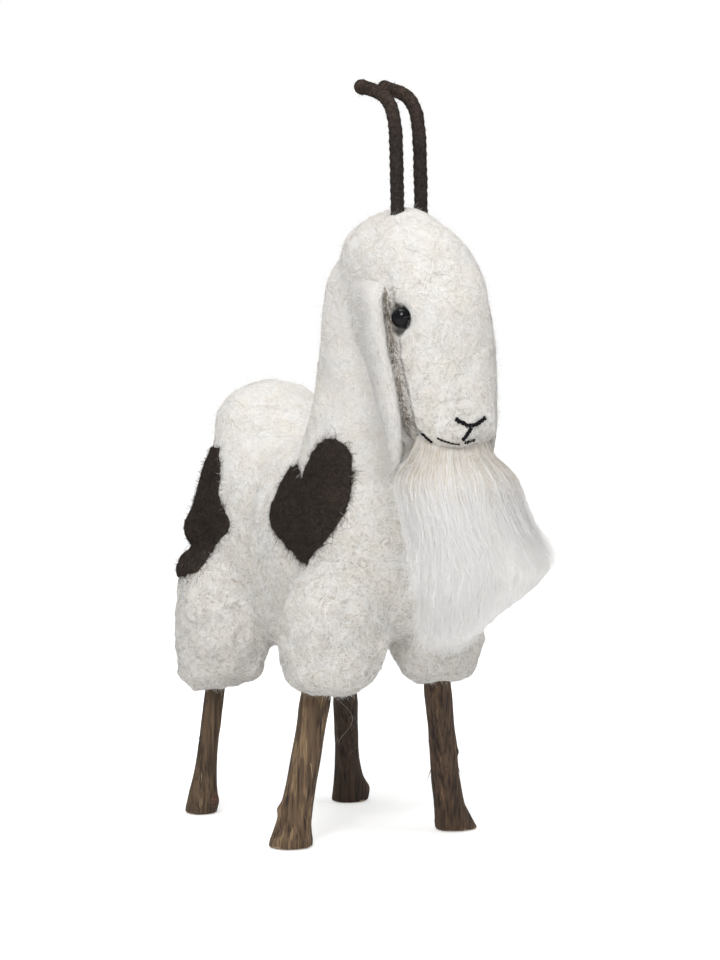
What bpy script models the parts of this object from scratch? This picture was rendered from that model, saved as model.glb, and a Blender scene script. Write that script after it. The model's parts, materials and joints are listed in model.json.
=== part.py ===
"""Needle-felted goat on twig legs, with wool-wrapped wire horns, lop ears and a loose beard.

The goat looks along -Y, its own left side is +X and +Z is up.  It stands on z = 0.
Tables and sizes are in millimetres, and MM turns them into metres.
"""

import math

import bmesh
import bpy
import numpy as np
from mathutils import Vector

MM = 0.001
GAP = 0.3                                   # clearance between neighbouring solids
FRAME_SHIFT = Vector((-0.95, 14.8, 0.0))    # puts the origin under the middle of the goat

# Driving dimensions
PATCH_THICKNESS = 1.2                       # dark wool felted onto the white coat
PEG_LENGTH = 15.0                           # twig hidden inside the thigh
HORN_DIAMETER = 3.1
HORN_SPACING = 6.4
WIRE_DIAMETER = 1.2
EYE_DIAMETER = 5.0
EYE_CENTRE = Vector((10.8, -55.9, 125.4))   # left eye; the right one is mirrored
EYE_HOLLOW_CENTRE = Vector((13.6, -58.2, 125.4))
EYE_HOLLOW_DIAMETER = 8.4
SHANK_DIAMETER = 0.8
SHANK_LENGTH = 8.0
THREAD_DIAMETER = 0.9
FACET_ALLOWANCE = 0.25                      # a faceted head bulges a little between its points
THREAD_LIFT = GAP + FACET_ALLOWANCE + 0.5 * THREAD_DIAMETER
EAR_ROOT = Vector((13.0, -45.5, 142.0))      # left ear's hinge point, at its upper edge
EAR_SET_BACK = {"right": 0.0, "left": 2.0}  # the ears are not quite level
HEAD_SQUARENESS = 2.5                       # 2 is an ellipse, more is a rounded box
BODY_SQUARENESS = 2.3
BEARD_ROOT = Vector((0.0, -62.5, 97.0))
BEARD_SWING_ROOM = 1.8                       # clearance to the chin, so that the beard can swing
VIEW_TURN = math.radians(-30.0)             # the patches were felted on from this side

# Loft tables: distance along the spine, two centre offsets and two half sizes.
# Torso and core run along Y, with centre x, centre z, half width and half height.
TORSO = (
    (-44.0, 0.0, 70.0, 0.0, 0.0),
    (-38.0, 0.0, 71.0, 14.0, 18.5),
    (-25.0, 0.0, 72.5, 18.5, 25.0),
    (-8.0, 0.0, 70.5, 18.5, 26.0),
    (7.0, 0.0, 69.5, 18.0, 26.0),
    (22.0, 0.0, 76.0, 19.5, 33.0),
    (31.0, 0.0, 78.5, 19.3, 31.0),
    (38.0, 0.0, 78.5, 15.0, 22.0),
    (43.0, 0.0, 78.0, 0.0, 0.0),
)
CORE_BODY = (
    (-33.0, 0.0, 73.0, 0.0, 0.0),
    (-24.0, 0.0, 74.0, 11.0, 14.0),
    (5.0, 0.0, 73.0, 11.0, 13.5),
    (25.0, 0.0, 79.0, 12.0, 18.0),
    (34.0, 0.0, 80.0, 0.0, 0.0),
)
# The rest run along Z, with centre x, centre y, half width and half depth.
CORE_NECK = (
    (68.0, 0.0, -18.0, 0.0, 0.0),
    (74.0, 0.0, -19.0, 7.5, 7.5),
    (100.0, 0.0, -24.0, 7.0, 7.0),
    (118.0, 0.0, -27.5, 6.5, 6.5),
    (131.0, 0.0, -33.5, 6.0, 6.0),
    (137.0, 0.0, -36.0, 0.0, 0.0),
)
NECK = (
    (72.0, 0.0, -20.0, 0.0, 0.0),
    (85.0, 0.0, -20.0, 17.0, 19.0),
    (97.0, 0.0, -24.0, 16.0, 17.0),
    (105.0, 0.0, -25.0, 14.2, 15.5),
    (117.5, 0.0, -26.6, 13.5, 15.0),
    (130.0, 0.0, -27.8, 13.2, 15.0),
    (140.0, 0.0, -32.0, 10.5, 13.0),
    (145.0, 0.0, -36.0, 0.0, 0.0),
)
HEAD = (
    (94.8, 0.0, -61.0, 0.0, 0.0),
    (98.0, 0.0, -60.3, 9.5, 8.6),
    (101.5, 0.0, -58.4, 10.8, 10.4),
    (107.0, 0.0, -55.0, 12.2, 13.2),
    (118.0, 0.0, -49.5, 13.4, 16.8),
    (129.0, 0.0, -45.0, 13.7, 19.6),
    (141.0, 0.0, -39.2, 13.0, 18.0),
    (146.0, 0.0, -38.6, 10.6, 13.5),
    (151.2, 0.0, -39.5, 0.0, 0.0),
)
EAR = (
    (88.5, 12.4, -52.5, 0.0, 0.0),
    (93.0, 12.8, -52.5, 1.9, 5.8),
    (100.0, 13.6, -52.0, 2.2, 7.6),
    (110.0, 14.6, -50.0, 2.2, 8.2),
    (122.0, 15.4, -47.4, 2.1, 7.8),
    (131.0, 15.3, -46.0, 2.2, 7.0),
    (138.0, 14.0, -45.0, 2.6, 5.6),
    (141.5, 12.4, -44.5, 0.0, 0.0),
)
BEARD = (
    (50.0, -5.0, -66.0, 0.0, 0.0),
    (53.5, -4.5, -67.0, 8.5, 4.5),
    (59.5, -2.5, -69.0, 12.0, 6.0),
    (66.0, 3.6, -70.0, 18.6, 7.5),
    (80.0, 0.6, -66.0, 15.0, 7.5),
    (90.0, -0.8, -62.5, 10.2, 6.0),
    (96.0, 0.0, -59.7, 6.0, 3.8),
    (98.5, 0.0, -59.7, 0.0, 0.0),
)
TAIL = (
    (77.0, 0.0, 45.0, 0.0, 0.0),
    (80.0, 0.0, 45.0, 3.6, 2.6),
    (88.0, 0.0, 44.0, 4.5, 3.2),
    (95.0, 0.0, 41.0, 3.6, 3.2),
    (100.0, 0.0, 37.0, 0.0, 0.0),
)
THIGHS = {
    "front_right": (
        (37.0, -16.0, -31.5, 0.0, 0.0),
        (41.5, -15.8, -31.5, 10.6, 11.0),
        (51.0, -15.0, -31.5, 12.5, 12.8),
        (62.0, -13.5, -31.0, 11.6, 12.2),
        (71.0, -11.0, -29.0, 0.0, 0.0),
    ),
    "front_left": (
        (36.2, 15.5, -28.5, 0.0, 0.0),
        (41.0, 15.5, -28.5, 9.9, 9.9),
        (51.0, 15.0, -28.0, 11.6, 11.6),
        (62.0, 13.5, -28.0, 10.5, 11.0),
        (71.0, 11.0, -28.0, 0.0, 0.0),
    ),
    "hind_right": (
        (32.0, -16.0, 24.0, 0.0, 0.0),
        (36.5, -16.0, 24.0, 9.8, 10.2),
        (46.0, -15.5, 23.5, 12.2, 12.6),
        (60.0, -14.0, 25.0, 12.6, 13.0),
        (71.0, -12.0, 26.0, 0.0, 0.0),
    ),
    "hind_left": (
        (28.5, 15.0, 18.5, 0.0, 0.0),
        (33.5, 15.0, 19.0, 9.4, 9.8),
        (45.0, 15.0, 20.0, 12.0, 12.2),
        (60.0, 14.0, 22.0, 12.2, 12.6),
        (71.0, 12.0, 24.0, 0.0, 0.0),
    ),
}
# Twigs: the sole is a flat oblique cut at z = 0 and the last row is where the wool starts.
LEGS = {
    "front_right": (
        (0.0, -22.0, -23.2, 5.4, 5.1),
        (3.0, -21.7, -23.3, 5.0, 4.6),
        (8.0, -21.0, -23.8, 3.9, 3.8),
        (20.0, -19.3, -25.3, 3.6, 3.6),
        (37.0, -17.0, -27.0, 3.7, 3.6),
    ),
    "front_left": (
        (0.0, 23.9, -24.2, 5.7, 4.6),
        (2.5, 22.8, -24.4, 4.9, 4.2),
        (9.0, 20.6, -25.2, 3.5, 3.5),
        (22.0, 18.0, -27.2, 3.4, 3.4),
        (37.0, 15.0, -29.4, 3.4, 3.4),
    ),
    "hind_right": (
        (0.0, -21.3, 25.9, 4.1, 3.9),
        (3.5, -20.9, 25.9, 3.9, 3.7),
        (8.0, -20.3, 25.9, 3.0, 2.9),
        (18.0, -19.0, 26.0, 2.5, 2.5),
        (32.0, -17.0, 26.0, 2.6, 2.6),
    ),
    "hind_left": (
        (0.0, 19.8, 21.5, 5.0, 4.4),
        (3.0, 19.6, 21.2, 4.5, 4.1),
        (8.0, 18.5, 20.4, 3.4, 3.3),
        (18.0, 17.0, 18.4, 3.0, 3.0),
        (30.0, 15.0, 15.6, 3.1, 3.1),
    ),
}
# Horn axis in its own upright plane: y, z, straight up from the crown and then curled back.
HORN_PATH = (
    (-41.2, 136.0), (-41.0, 147.0), (-40.7, 158.0), (-40.2, 168.0), (-39.0, 172.8), (-36.6, 176.0),
    (-33.0, 178.0), (-28.5, 179.2), (-24.5, 180.0), (-20.8, 180.4),
)
HORN_WRAP_START = 146.5
# Patch outlines: across, up and the handle, AUTO on a round stretch and VECTOR at a corner.
HEART_OUTLINE = (
    (-4.9, 67.0, "VECTOR"), (-11.2, 75.3, "AUTO"), (-12.4, 83.5, "AUTO"), (-9.4, 90.6, "AUTO"),
    (-4.7, 89.9, "VECTOR"), (-2.6, 93.6, "AUTO"), (1.6, 97.3, "AUTO"), (6.2, 94.3, "AUTO"),
    (7.1, 88.5, "AUTO"), (4.4, 79.0, "AUTO"),
)
HIP_OUTLINE = (
    (-27.2, 93.2, "VECTOR"), (-26.4, 85.0, "AUTO"), (-26.6, 79.5, "AUTO"), (-23.8, 74.0, "AUTO"),
    (-26.6, 70.0, "AUTO"), (-32.0, 62.5, "VECTOR"), (-42.0, 60.0, "AUTO"), (-42.0, 92.0, "AUTO"),
)
PATCH_PLANE = {"heart_patch": -32.0, "hip_patch": 28.0}   # depth of the outline's plane
PATCH_REACH = {"heart_patch": 13.0, "hip_patch": 30.0}    # half the length of the cutting prism

MATERIALS = {
    "white_wool": ((0.84, 0.82, 0.78), 0.95, 0.0),
    "dark_wool": ((0.035, 0.024, 0.020), 0.95, 0.0),
    "twig": ((0.12, 0.065, 0.035), 0.75, 0.0),
    "wire": ((0.45, 0.43, 0.40), 0.40, 1.0),
    "glass": ((0.008, 0.008, 0.010), 0.05, 0.0),
    "thread": ((0.020, 0.018, 0.022), 0.65, 0.0),
}


# ---------------------------------------------------------------- scene helpers

def clear_scene():
    """Start from an empty file."""
    for obj in list(bpy.data.objects):
        bpy.data.objects.remove(obj, do_unlink=True)


def new_collection(name):
    """Add a collection under the scene."""
    collection = bpy.data.collections.new(name)
    bpy.context.scene.collection.children.link(collection)
    return collection


def make_material(name, colour, roughness, metallic):
    """Plain Principled material."""
    material = bpy.data.materials.new(name)
    material.use_nodes = True
    shader = material.node_tree.nodes["Principled BSDF"]
    shader.inputs["Base Color"].default_value = (*colour, 1.0)
    shader.inputs["Roughness"].default_value = roughness
    shader.inputs["Metallic"].default_value = metallic
    return material


def add_object(name, mesh, material, parent, collection):
    """Put a mesh into the goat as a named sub-part."""
    obj = bpy.data.objects.new(name, mesh)
    collection.objects.link(obj)
    if material:
        mesh.materials.clear()
        mesh.materials.append(material)
    mesh.shade_smooth()
    obj.parent = parent
    return obj


def mark_cutter(obj):
    """Keep a helper out of the build."""
    obj.hide_render = True
    obj.display_type = "WIRE"
    return obj


# ---------------------------------------------------------------- shape helpers

def smooth_curve(distances, values, at):
    """Monotone cubic through the stations, so that a round form never overshoots."""
    steps = np.diff(distances)
    slopes = np.diff(values) / steps
    tangents = np.concatenate(([slopes[0]], np.zeros(len(slopes) - 1), [slopes[-1]]))
    for i in range(1, len(slopes)):
        before, after = slopes[i - 1], slopes[i]
        if before * after > 0.0:
            weight_a = 2.0 * steps[i] + steps[i - 1]
            weight_b = steps[i] + 2.0 * steps[i - 1]
            tangents[i] = (weight_a + weight_b) / (weight_a / before + weight_b / after)
    k = int(np.clip(np.searchsorted(distances, at) - 1, 0, len(steps) - 1))
    t = (at - distances[k]) / steps[k]
    h00 = 2 * t ** 3 - 3 * t ** 2 + 1
    h10 = t ** 3 - 2 * t ** 2 + t
    h01 = 3 * t ** 2 - 2 * t ** 3
    h11 = t ** 3 - t ** 2
    rise = steps[k]
    return h00 * values[k] + h10 * rise * tangents[k] + h01 * values[k + 1] + h11 * rise * tangents[k + 1]


def section_at(stations, at):
    """Centre and half sizes of a loft at one distance; squares are blended to round the ends."""
    table = np.array(stations)
    centre_u = smooth_curve(table[:, 0], table[:, 1], at)
    centre_v = smooth_curve(table[:, 0], table[:, 2], at)
    half_u = math.sqrt(max(0.0, smooth_curve(table[:, 0], table[:, 3] ** 2, at)))
    half_v = math.sqrt(max(0.0, smooth_curve(table[:, 0], table[:, 4] ** 2, at)))
    return centre_u, centre_v, half_u, half_v


def bend(value, squareness):
    """Sine or cosine of a section, pushed towards a rounded box as squareness rises above 2."""
    return math.copysign(abs(value) ** (2.0 / squareness), value)


def loft_mesh(name, stations, along="Z", sides=24, rings=14, mirror=False, squareness=2.0):
    """Skin ellipses along an axis. A zero station closes to a pole, any other end is capped flat."""
    bm = bmesh.new()
    first, last = stations[0][0], stations[-1][0]
    side = -1.0 if mirror else 1.0
    loops = []
    for ring in range(rings + 1):
        at = first + (last - first) * 0.5 * (1.0 - math.cos(math.pi * ring / rings))
        centre_u, centre_v, half_u, half_v = section_at(stations, at)
        is_pole = ring in (0, rings) and half_u < 1e-6
        loop = []
        for i in range(1 if is_pole else sides):
            angle = 2.0 * math.pi * i / sides
            u = side * (centre_u + (0.0 if is_pole else half_u * bend(math.cos(angle), squareness)))
            v = centre_v + (0.0 if is_pole else half_v * bend(math.sin(angle), squareness))
            place = (u, v, at) if along == "Z" else (u, at, v)
            loop.append(bm.verts.new(Vector(place) * MM))
        loops.append(loop)
    for lower, upper in zip(loops, loops[1:]):
        skin_between(bm, lower, upper, sides)
    for loop in (loops[0], loops[-1]):
        if len(loop) > 1:
            bm.faces.new(loop)
    bmesh.ops.recalc_face_normals(bm, faces=bm.faces)
    mesh = bpy.data.meshes.new(name)
    bm.to_mesh(mesh)
    bm.free()
    return mesh


def skin_between(bm, lower, upper, sides):
    """Faces between two rings, either of which may be a single pole."""
    for i in range(sides):
        j = (i + 1) % sides
        if len(lower) == 1:
            bm.faces.new((lower[0], upper[j], upper[i]))
        elif len(upper) == 1:
            bm.faces.new((lower[i], lower[j], upper[0]))
        else:
            bm.faces.new((lower[i], lower[j], upper[j], upper[i]))


def tube_mesh(name, points, radius, taper_end=False, roundness=2):
    """Round bar along points, with filled caps; the end can be rounded off."""
    curve = bpy.data.curves.new(name, "CURVE")
    curve.dimensions = "3D"
    curve.bevel_depth = radius * MM
    curve.bevel_resolution = roundness
    curve.use_fill_caps = True
    spline = curve.splines.new("POLY")
    spline.points.add(len(points) - 1)
    for point, place in zip(spline.points, points):
        point.co = (*(Vector(place) * MM), 1.0)
    if taper_end:
        spline.points[-2].radius = 0.86
        spline.points[-1].radius = 0.42
    return curve_to_mesh(name, curve)


def curve_to_mesh(name, curve):
    """Turn a curve into a closed mesh."""
    guide = bpy.data.objects.new(name + "_guide", curve)
    bpy.context.scene.collection.objects.link(guide)
    bpy.context.view_layer.update()
    evaluated = guide.evaluated_get(bpy.context.evaluated_depsgraph_get())
    mesh = bpy.data.meshes.new_from_object(evaluated)
    mesh.name = name
    mesh.transform(guide.matrix_world)
    bpy.data.objects.remove(guide, do_unlink=True)
    bm = bmesh.new()
    bm.from_mesh(mesh)
    bmesh.ops.remove_doubles(bm, verts=bm.verts, dist=0.000005)
    bmesh.ops.recalc_face_normals(bm, faces=bm.faces)
    bm.to_mesh(mesh)
    bm.free()
    return mesh


def sphere_mesh(name, centre, radius, segments=16, rings=10):
    """Ball at a point."""
    bm = bmesh.new()
    bmesh.ops.create_uvsphere(bm, u_segments=segments, v_segments=rings, radius=radius * MM)
    bmesh.ops.translate(bm, verts=bm.verts, vec=centre * MM)
    mesh = bpy.data.meshes.new(name)
    bm.to_mesh(mesh)
    bm.free()
    return mesh


def outline_prism(name, outline, depth, reach):
    """Upright flat outline, seen from VIEW_TURN, pushed both ways through the body."""
    curve = bpy.data.curves.new(name, "CURVE")
    curve.dimensions = "2D"
    curve.fill_mode = "BOTH"
    curve.extrude = reach * MM
    curve.resolution_u = 4
    spline = curve.splines.new("BEZIER")
    spline.bezier_points.add(len(outline) - 1)
    spline.use_cyclic_u = True
    for point, (across, up, handle) in zip(spline.bezier_points, outline):
        point.co = Vector((across, up, 0.0)) * MM
        point.handle_left_type = handle
        point.handle_right_type = handle
    mesh = curve_to_mesh(name, curve)
    right = Vector((math.cos(VIEW_TURN), math.sin(VIEW_TURN), 0.0))
    inward = Vector((-math.sin(VIEW_TURN), math.cos(VIEW_TURN), 0.0))
    for vertex in mesh.vertices:
        across, up, along = vertex.co
        vertex.co = right * across + inward * (along + depth * MM) + Vector((0.0, 0.0, up))
    bm = bmesh.new()
    bm.from_mesh(mesh)
    bmesh.ops.recalc_face_normals(bm, faces=bm.faces)
    bm.to_mesh(mesh)
    bm.free()
    return mesh


def grown_mesh(mesh, distance):
    """Copy of a closed mesh with every point moved out along its normal."""
    copy = mesh.copy()
    copy.name = mesh.name + "_grown"
    normals = [vertex.normal.copy() for vertex in mesh.vertices]
    for vertex, normal in zip(copy.vertices, normals):
        vertex.co += normal * distance * MM
    return copy


# ---------------------------------------------------------------- the goat

class Goat:
    """Holds the collections, materials and root that every sub-part needs."""

    def __init__(self):
        self.parts = new_collection("felted_goat")
        self.cutters = new_collection("cutters")
        self.materials = {name: make_material(name, *look) for name, look in MATERIALS.items()}
        self.root = self.add_empty("goat_frame", FRAME_SHIFT, None)
        self.helpers = 0

    def add_empty(self, name, place, parent):
        """Empty that carries a group of sub-parts."""
        empty = bpy.data.objects.new(name, None)
        self.parts.objects.link(empty)
        empty.location = place * MM
        empty.parent = parent
        return empty

    def part(self, name, mesh, slot, parent=None):
        """Named sub-part in one material."""
        return add_object(name, mesh, self.materials[slot], parent or self.root, self.parts)

    def helper(self, mesh):
        """Cutter that takes part in Booleans only."""
        self.helpers += 1
        name = f"{mesh.name}_{self.helpers}"
        return mark_cutter(add_object(name, mesh, None, self.root, self.cutters))

    def boolean(self, target, mesh, operation="DIFFERENCE"):
        """Cut, join or trim a part with a mesh."""
        modifier = target.modifiers.new(f"{operation.lower()}_{mesh.name}"[:60], "BOOLEAN")
        modifier.operation = operation
        modifier.solver = "EXACT"
        modifier.object = self.helper(mesh)

    def clear_of(self, target, *meshes, gap=GAP):
        """Cut neighbours away from a part, leaving a gap."""
        for mesh in meshes:
            self.boolean(target, grown_mesh(mesh, gap))


def surface_point(stations, height, turn, lift):
    """Point on an upright loft: turn is measured from straight ahead towards the goat's left."""
    centre_u, centre_v, half_u, half_v = section_at(stations, height)
    across, ahead = bend(math.sin(turn), HEAD_SQUARENESS), -bend(math.cos(turn), HEAD_SQUARENESS)
    steep = HEAD_SQUARENESS - 1.0
    outward = Vector((
        math.copysign(abs(across) ** steep, across) / half_u,
        math.copysign(abs(ahead) ** steep, ahead) / half_v, 0.0)).normalized()
    return Vector((centre_u + half_u * across, centre_v + half_v * ahead, height)) + outward * lift


def build_body(goat, shapes):
    """Core, coat, neck and tail; returns the coat, which the legs are pushed into."""
    core = goat.part("torso_core", shapes["core_body"], "white_wool")
    goat.boolean(core, shapes["core_neck"], "UNION")
    coat = goat.part("torso_coat", shapes["torso"].copy(), "white_wool")
    goat.clear_of(coat, shapes["core_body"], shapes["core_neck"])
    neck = goat.part("neck_coat", shapes["neck"].copy(), "white_wool")
    goat.clear_of(neck, shapes["torso"], shapes["head"], shapes["core_neck"])
    tail = goat.part("tail", loft_mesh("tail", TAIL, sides=14, rings=10), "white_wool")
    goat.clear_of(tail, shapes["torso"])
    return coat


def build_legs(goat, shapes, coat):
    """Twigs pushed through felted thighs, the longer ones just into the coat."""
    for name, stations in LEGS.items():
        wool_line = stations[-1]
        before = stations[-2]
        run = PEG_LENGTH / (wool_line[0] - before[0])
        peg_end = tuple(w + run * (w - b) for w, b in zip(wool_line[:3], before[:3])) + wool_line[3:]
        twig = loft_mesh(f"leg_{name}", stations + (peg_end,), sides=12, rings=9)
        goat.part(f"leg_{name}", twig, "twig")
        thigh = goat.part(f"thigh_{name}", shapes["thigh_" + name].copy(), "white_wool")
        goat.clear_of(thigh, shapes["torso"], twig)
        goat.clear_of(coat, twig)


def build_patches(goat, shapes):
    """Flat pieces of dark wool felted onto the right side, following the coat underneath."""
    under = {
        "heart_patch": (shapes["torso"], shapes["neck"], shapes["thigh_front_right"]),
        "hip_patch": (shapes["torso"], shapes["thigh_hind_right"]),
    }
    for name, outline in (("heart_patch", HEART_OUTLINE), ("hip_patch", HIP_OUTLINE)):
        base = under[name]
        patch = goat.part(name, grown_mesh(base[0], PATCH_THICKNESS), "dark_wool")
        for mesh in base[1:]:
            goat.boolean(patch, grown_mesh(mesh, PATCH_THICKNESS), "UNION")
        goat.boolean(patch, outline_prism(name, outline, PATCH_PLANE[name], PATCH_REACH[name]), "INTERSECT")
        goat.clear_of(patch, *base)


def build_head(goat, shapes):
    """Head with horns, eyes and sewn muzzle."""
    head = goat.part("head", shapes["head"].copy(), "white_wool")
    goat.clear_of(head, shapes["core_neck"])
    for side_name, side in (("right", -1.0), ("left", 1.0)):
        build_horn(goat, head, side_name, side)
        build_eye(goat, head, side_name, side)
    build_stitches(goat)


def build_horn(goat, head, side_name, side):
    """Wire from inside the head to the curled tip, and the wool wound on it."""
    x = side * 0.5 * HORN_SPACING
    path = [Vector((x, y, z)) for y, z in HORN_PATH]
    wire_end = path[-1].lerp(path[-2], 0.5)
    wire = tube_mesh(f"horn_wire_{side_name}", path[:-1] + [wire_end], 0.5 * WIRE_DIAMETER, roundness=1)
    goat.part(f"horn_wire_{side_name}", wire, "wire")
    wrap_start = Vector((x, HORN_PATH[1][0], HORN_WRAP_START))
    wrap_mesh = tube_mesh(
        f"horn_wrap_{side_name}", [wrap_start] + path[2:], 0.5 * HORN_DIAMETER, taper_end=True)
    wrap = goat.part(f"horn_wrap_{side_name}", wrap_mesh, "dark_wool")
    goat.clear_of(wrap, wire)
    goat.clear_of(head, wire, wrap_mesh)


def build_eye(goat, head, side_name, side):
    """Glass bead in a shallow socket, on a wire shank pushed into the head."""
    centre = Vector((side * EYE_CENTRE.x, EYE_CENTRE.y, EYE_CENTRE.z))
    inward = Vector((-side * 0.80, 0.60, 0.0))
    bead = sphere_mesh(f"eye_bead_{side_name}", centre, 0.5 * EYE_DIAMETER)
    goat.part(f"eye_bead_{side_name}", bead, "glass")
    start = centre + inward * (0.5 * EYE_DIAMETER + GAP)
    name = f"eye_shank_{side_name}"
    shank_end = start + inward * SHANK_LENGTH
    goat.part(name, tube_mesh(name, [start, shank_end], 0.5 * SHANK_DIAMETER, roundness=1), "wire")
    hole_end = start + inward * (SHANK_LENGTH + GAP)
    hole = tube_mesh("shank_hole", [centre, hole_end], 0.5 * SHANK_DIAMETER + GAP, roundness=1)
    hollow_centre = Vector((side * EYE_HOLLOW_CENTRE.x, EYE_HOLLOW_CENTRE.y, EYE_HOLLOW_CENTRE.z))
    goat.boolean(head, sphere_mesh("eye_hollow", hollow_centre, 0.5 * EYE_HOLLOW_DIAMETER))
    goat.clear_of(head, bead)
    goat.boolean(head, hole)


def build_stitches(goat):
    """Nose in three stitches and the mouth in two, each a length of thread on the wool."""
    def on_head(height, turn):
        return surface_point(HEAD, height, math.radians(turn), THREAD_LIFT)

    stitches = {
        "nose_stitch_bar": (
            (103.2, -18.0), (102.1, -12.0), (101.2, -6.0), (100.9, -2.0), (101.5, 4.0), (102.3, 9.0),
            (103.2, 14.0)),
        "nose_stitch_stem": ((99.7, -3.0), (98.8, -5.5), (97.9, -8.0)),
        "nose_stitch_foot": ((97.0, -4.0), (96.9, 4.0)),
        "mouth_stitch_front": ((97.8, -50.0), (96.9, -34.0), (96.5, -18.0)),
        "mouth_stitch_back": ((98.8, -77.0), (97.9, -71.0), (97.0, -67.0)),
    }
    for name, route in stitches.items():
        points = [on_head(height, turn) for height, turn in route]
        goat.part(name, tube_mesh(name, points, 0.5 * THREAD_DIAMETER, roundness=1), "thread")


def build_ears(goat, shapes):
    """Lop ears, each hung on its own empty at the hinge line of the ear root."""
    for side_name, mirror in (("right", True), ("left", False)):
        side = -1.0 if mirror else 1.0
        set_back = EAR_SET_BACK[side_name]
        hinge = Vector((side * EAR_ROOT.x, EAR_ROOT.y + set_back, EAR_ROOT.z))
        root = goat.add_empty(f"ear_{side_name}_hinge", hinge, goat.root)
        stations = tuple((z, x, y + set_back, thick, wide) for z, x, y, thick, wide in EAR)
        mesh = loft_mesh(f"ear_{side_name}", stations, sides=16, rings=12, mirror=mirror)
        ear = goat.part(f"ear_{side_name}", mesh, "white_wool")
        goat.clear_of(ear, shapes["head"], shapes["neck"])
        ear.parent = root
        ear.matrix_parent_inverse = root.matrix_basis.inverted()


def build_beard(goat, shapes):
    """Loose lock of combed wool under the chin, hung on an empty at its root."""
    root = goat.add_empty("beard_hinge", BEARD_ROOT, goat.root)
    mesh = loft_mesh("beard", BEARD, sides=18, rings=12)
    beard = goat.part("beard", mesh, "white_wool")
    goat.clear_of(beard, shapes["head"], gap=BEARD_SWING_ROOM)
    beard.parent = root
    beard.matrix_parent_inverse = root.matrix_basis.inverted()


def base_shapes():
    """The plain felted forms that neighbours are cut against."""
    shapes = {
        "torso": loft_mesh("torso_coat", TORSO, along="Y", sides=24, rings=16, squareness=BODY_SQUARENESS),
        "core_body": loft_mesh("torso_core", CORE_BODY, along="Y", sides=12, rings=8),
        "core_neck": loft_mesh("core_neck", CORE_NECK, sides=10, rings=9),
        "neck": loft_mesh("neck_coat", NECK, sides=20, rings=12),
        "head": loft_mesh("head", HEAD, sides=24, rings=16, squareness=HEAD_SQUARENESS),
    }
    for name, stations in THIGHS.items():
        shapes["thigh_" + name] = loft_mesh("thigh_" + name, stations, sides=16, rings=10)
    return shapes


def main():
    """Build every sub-part."""
    clear_scene()
    goat = Goat()
    shapes = base_shapes()
    coat = build_body(goat, shapes)
    build_legs(goat, shapes, coat)
    build_patches(goat, shapes)
    build_head(goat, shapes)
    build_ears(goat, shapes)
    build_beard(goat, shapes)
    bpy.context.view_layer.update()


main()
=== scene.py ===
"""Looks of the needle-felted goat: felted skins, combed beard, wound horns, twigs, bead eyes and thread.

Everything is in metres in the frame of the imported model, which gives every place and size.
The goat looks along -Y, its own left side is +X and +Z is up.
"""

import json
import math
from itertools import product

import bmesh
import bpy
import numpy as np
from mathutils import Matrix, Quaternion, Vector
from mathutils.bvhtree import BVHTree

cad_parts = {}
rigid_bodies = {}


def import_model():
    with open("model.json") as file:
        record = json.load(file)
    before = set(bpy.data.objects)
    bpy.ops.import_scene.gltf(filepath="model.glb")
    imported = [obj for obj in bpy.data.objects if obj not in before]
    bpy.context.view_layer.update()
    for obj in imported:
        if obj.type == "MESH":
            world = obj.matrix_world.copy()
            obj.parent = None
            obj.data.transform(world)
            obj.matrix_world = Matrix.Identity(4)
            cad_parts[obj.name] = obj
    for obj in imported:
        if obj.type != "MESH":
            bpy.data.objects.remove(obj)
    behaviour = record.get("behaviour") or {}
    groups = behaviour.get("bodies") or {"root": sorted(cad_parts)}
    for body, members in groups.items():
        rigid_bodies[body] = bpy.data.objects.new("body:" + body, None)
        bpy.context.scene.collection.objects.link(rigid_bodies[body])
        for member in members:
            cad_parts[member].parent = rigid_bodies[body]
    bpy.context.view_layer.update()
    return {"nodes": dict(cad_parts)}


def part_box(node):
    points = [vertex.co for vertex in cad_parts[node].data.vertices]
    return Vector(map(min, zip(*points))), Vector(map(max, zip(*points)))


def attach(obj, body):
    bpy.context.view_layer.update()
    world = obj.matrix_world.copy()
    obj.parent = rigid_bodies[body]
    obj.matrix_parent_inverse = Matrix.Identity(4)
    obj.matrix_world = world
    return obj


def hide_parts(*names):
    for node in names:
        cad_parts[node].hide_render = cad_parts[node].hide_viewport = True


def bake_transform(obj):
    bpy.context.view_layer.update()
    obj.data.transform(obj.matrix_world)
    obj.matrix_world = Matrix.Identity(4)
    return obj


MM = 0.001
rng = np.random.default_rng(11)

for leftover in list(bpy.data.objects):
    bpy.data.objects.remove(leftover, do_unlink=True)

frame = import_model()
nodes = frame["nodes"]

SIDES = {"right": -1.0, "left": 1.0}                    # which way along X each side lies

# Camera and stage
TARGET = Vector((9.65, 15.1, 85.0)) * MM
DISTANCE = 0.650
TURN = math.radians(-30.0)
TILT = math.radians(3.5)
LENS = 97.5
AMBIENT = 0.35
FLOOR_GLOW = 0.44
LIGHTS = (                          # name, place, size, power
    ("key", (-0.44, -0.55, 0.70), 0.40, 4.2),
    ("top", (-0.05, 0.05, 0.95), 0.50, 2.9),
    ("fill", (0.60, -0.45, 0.40), 0.50, 1.0),
    ("glint", (-0.55, -0.62, 0.60), 0.05, 0.8),
)

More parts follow.
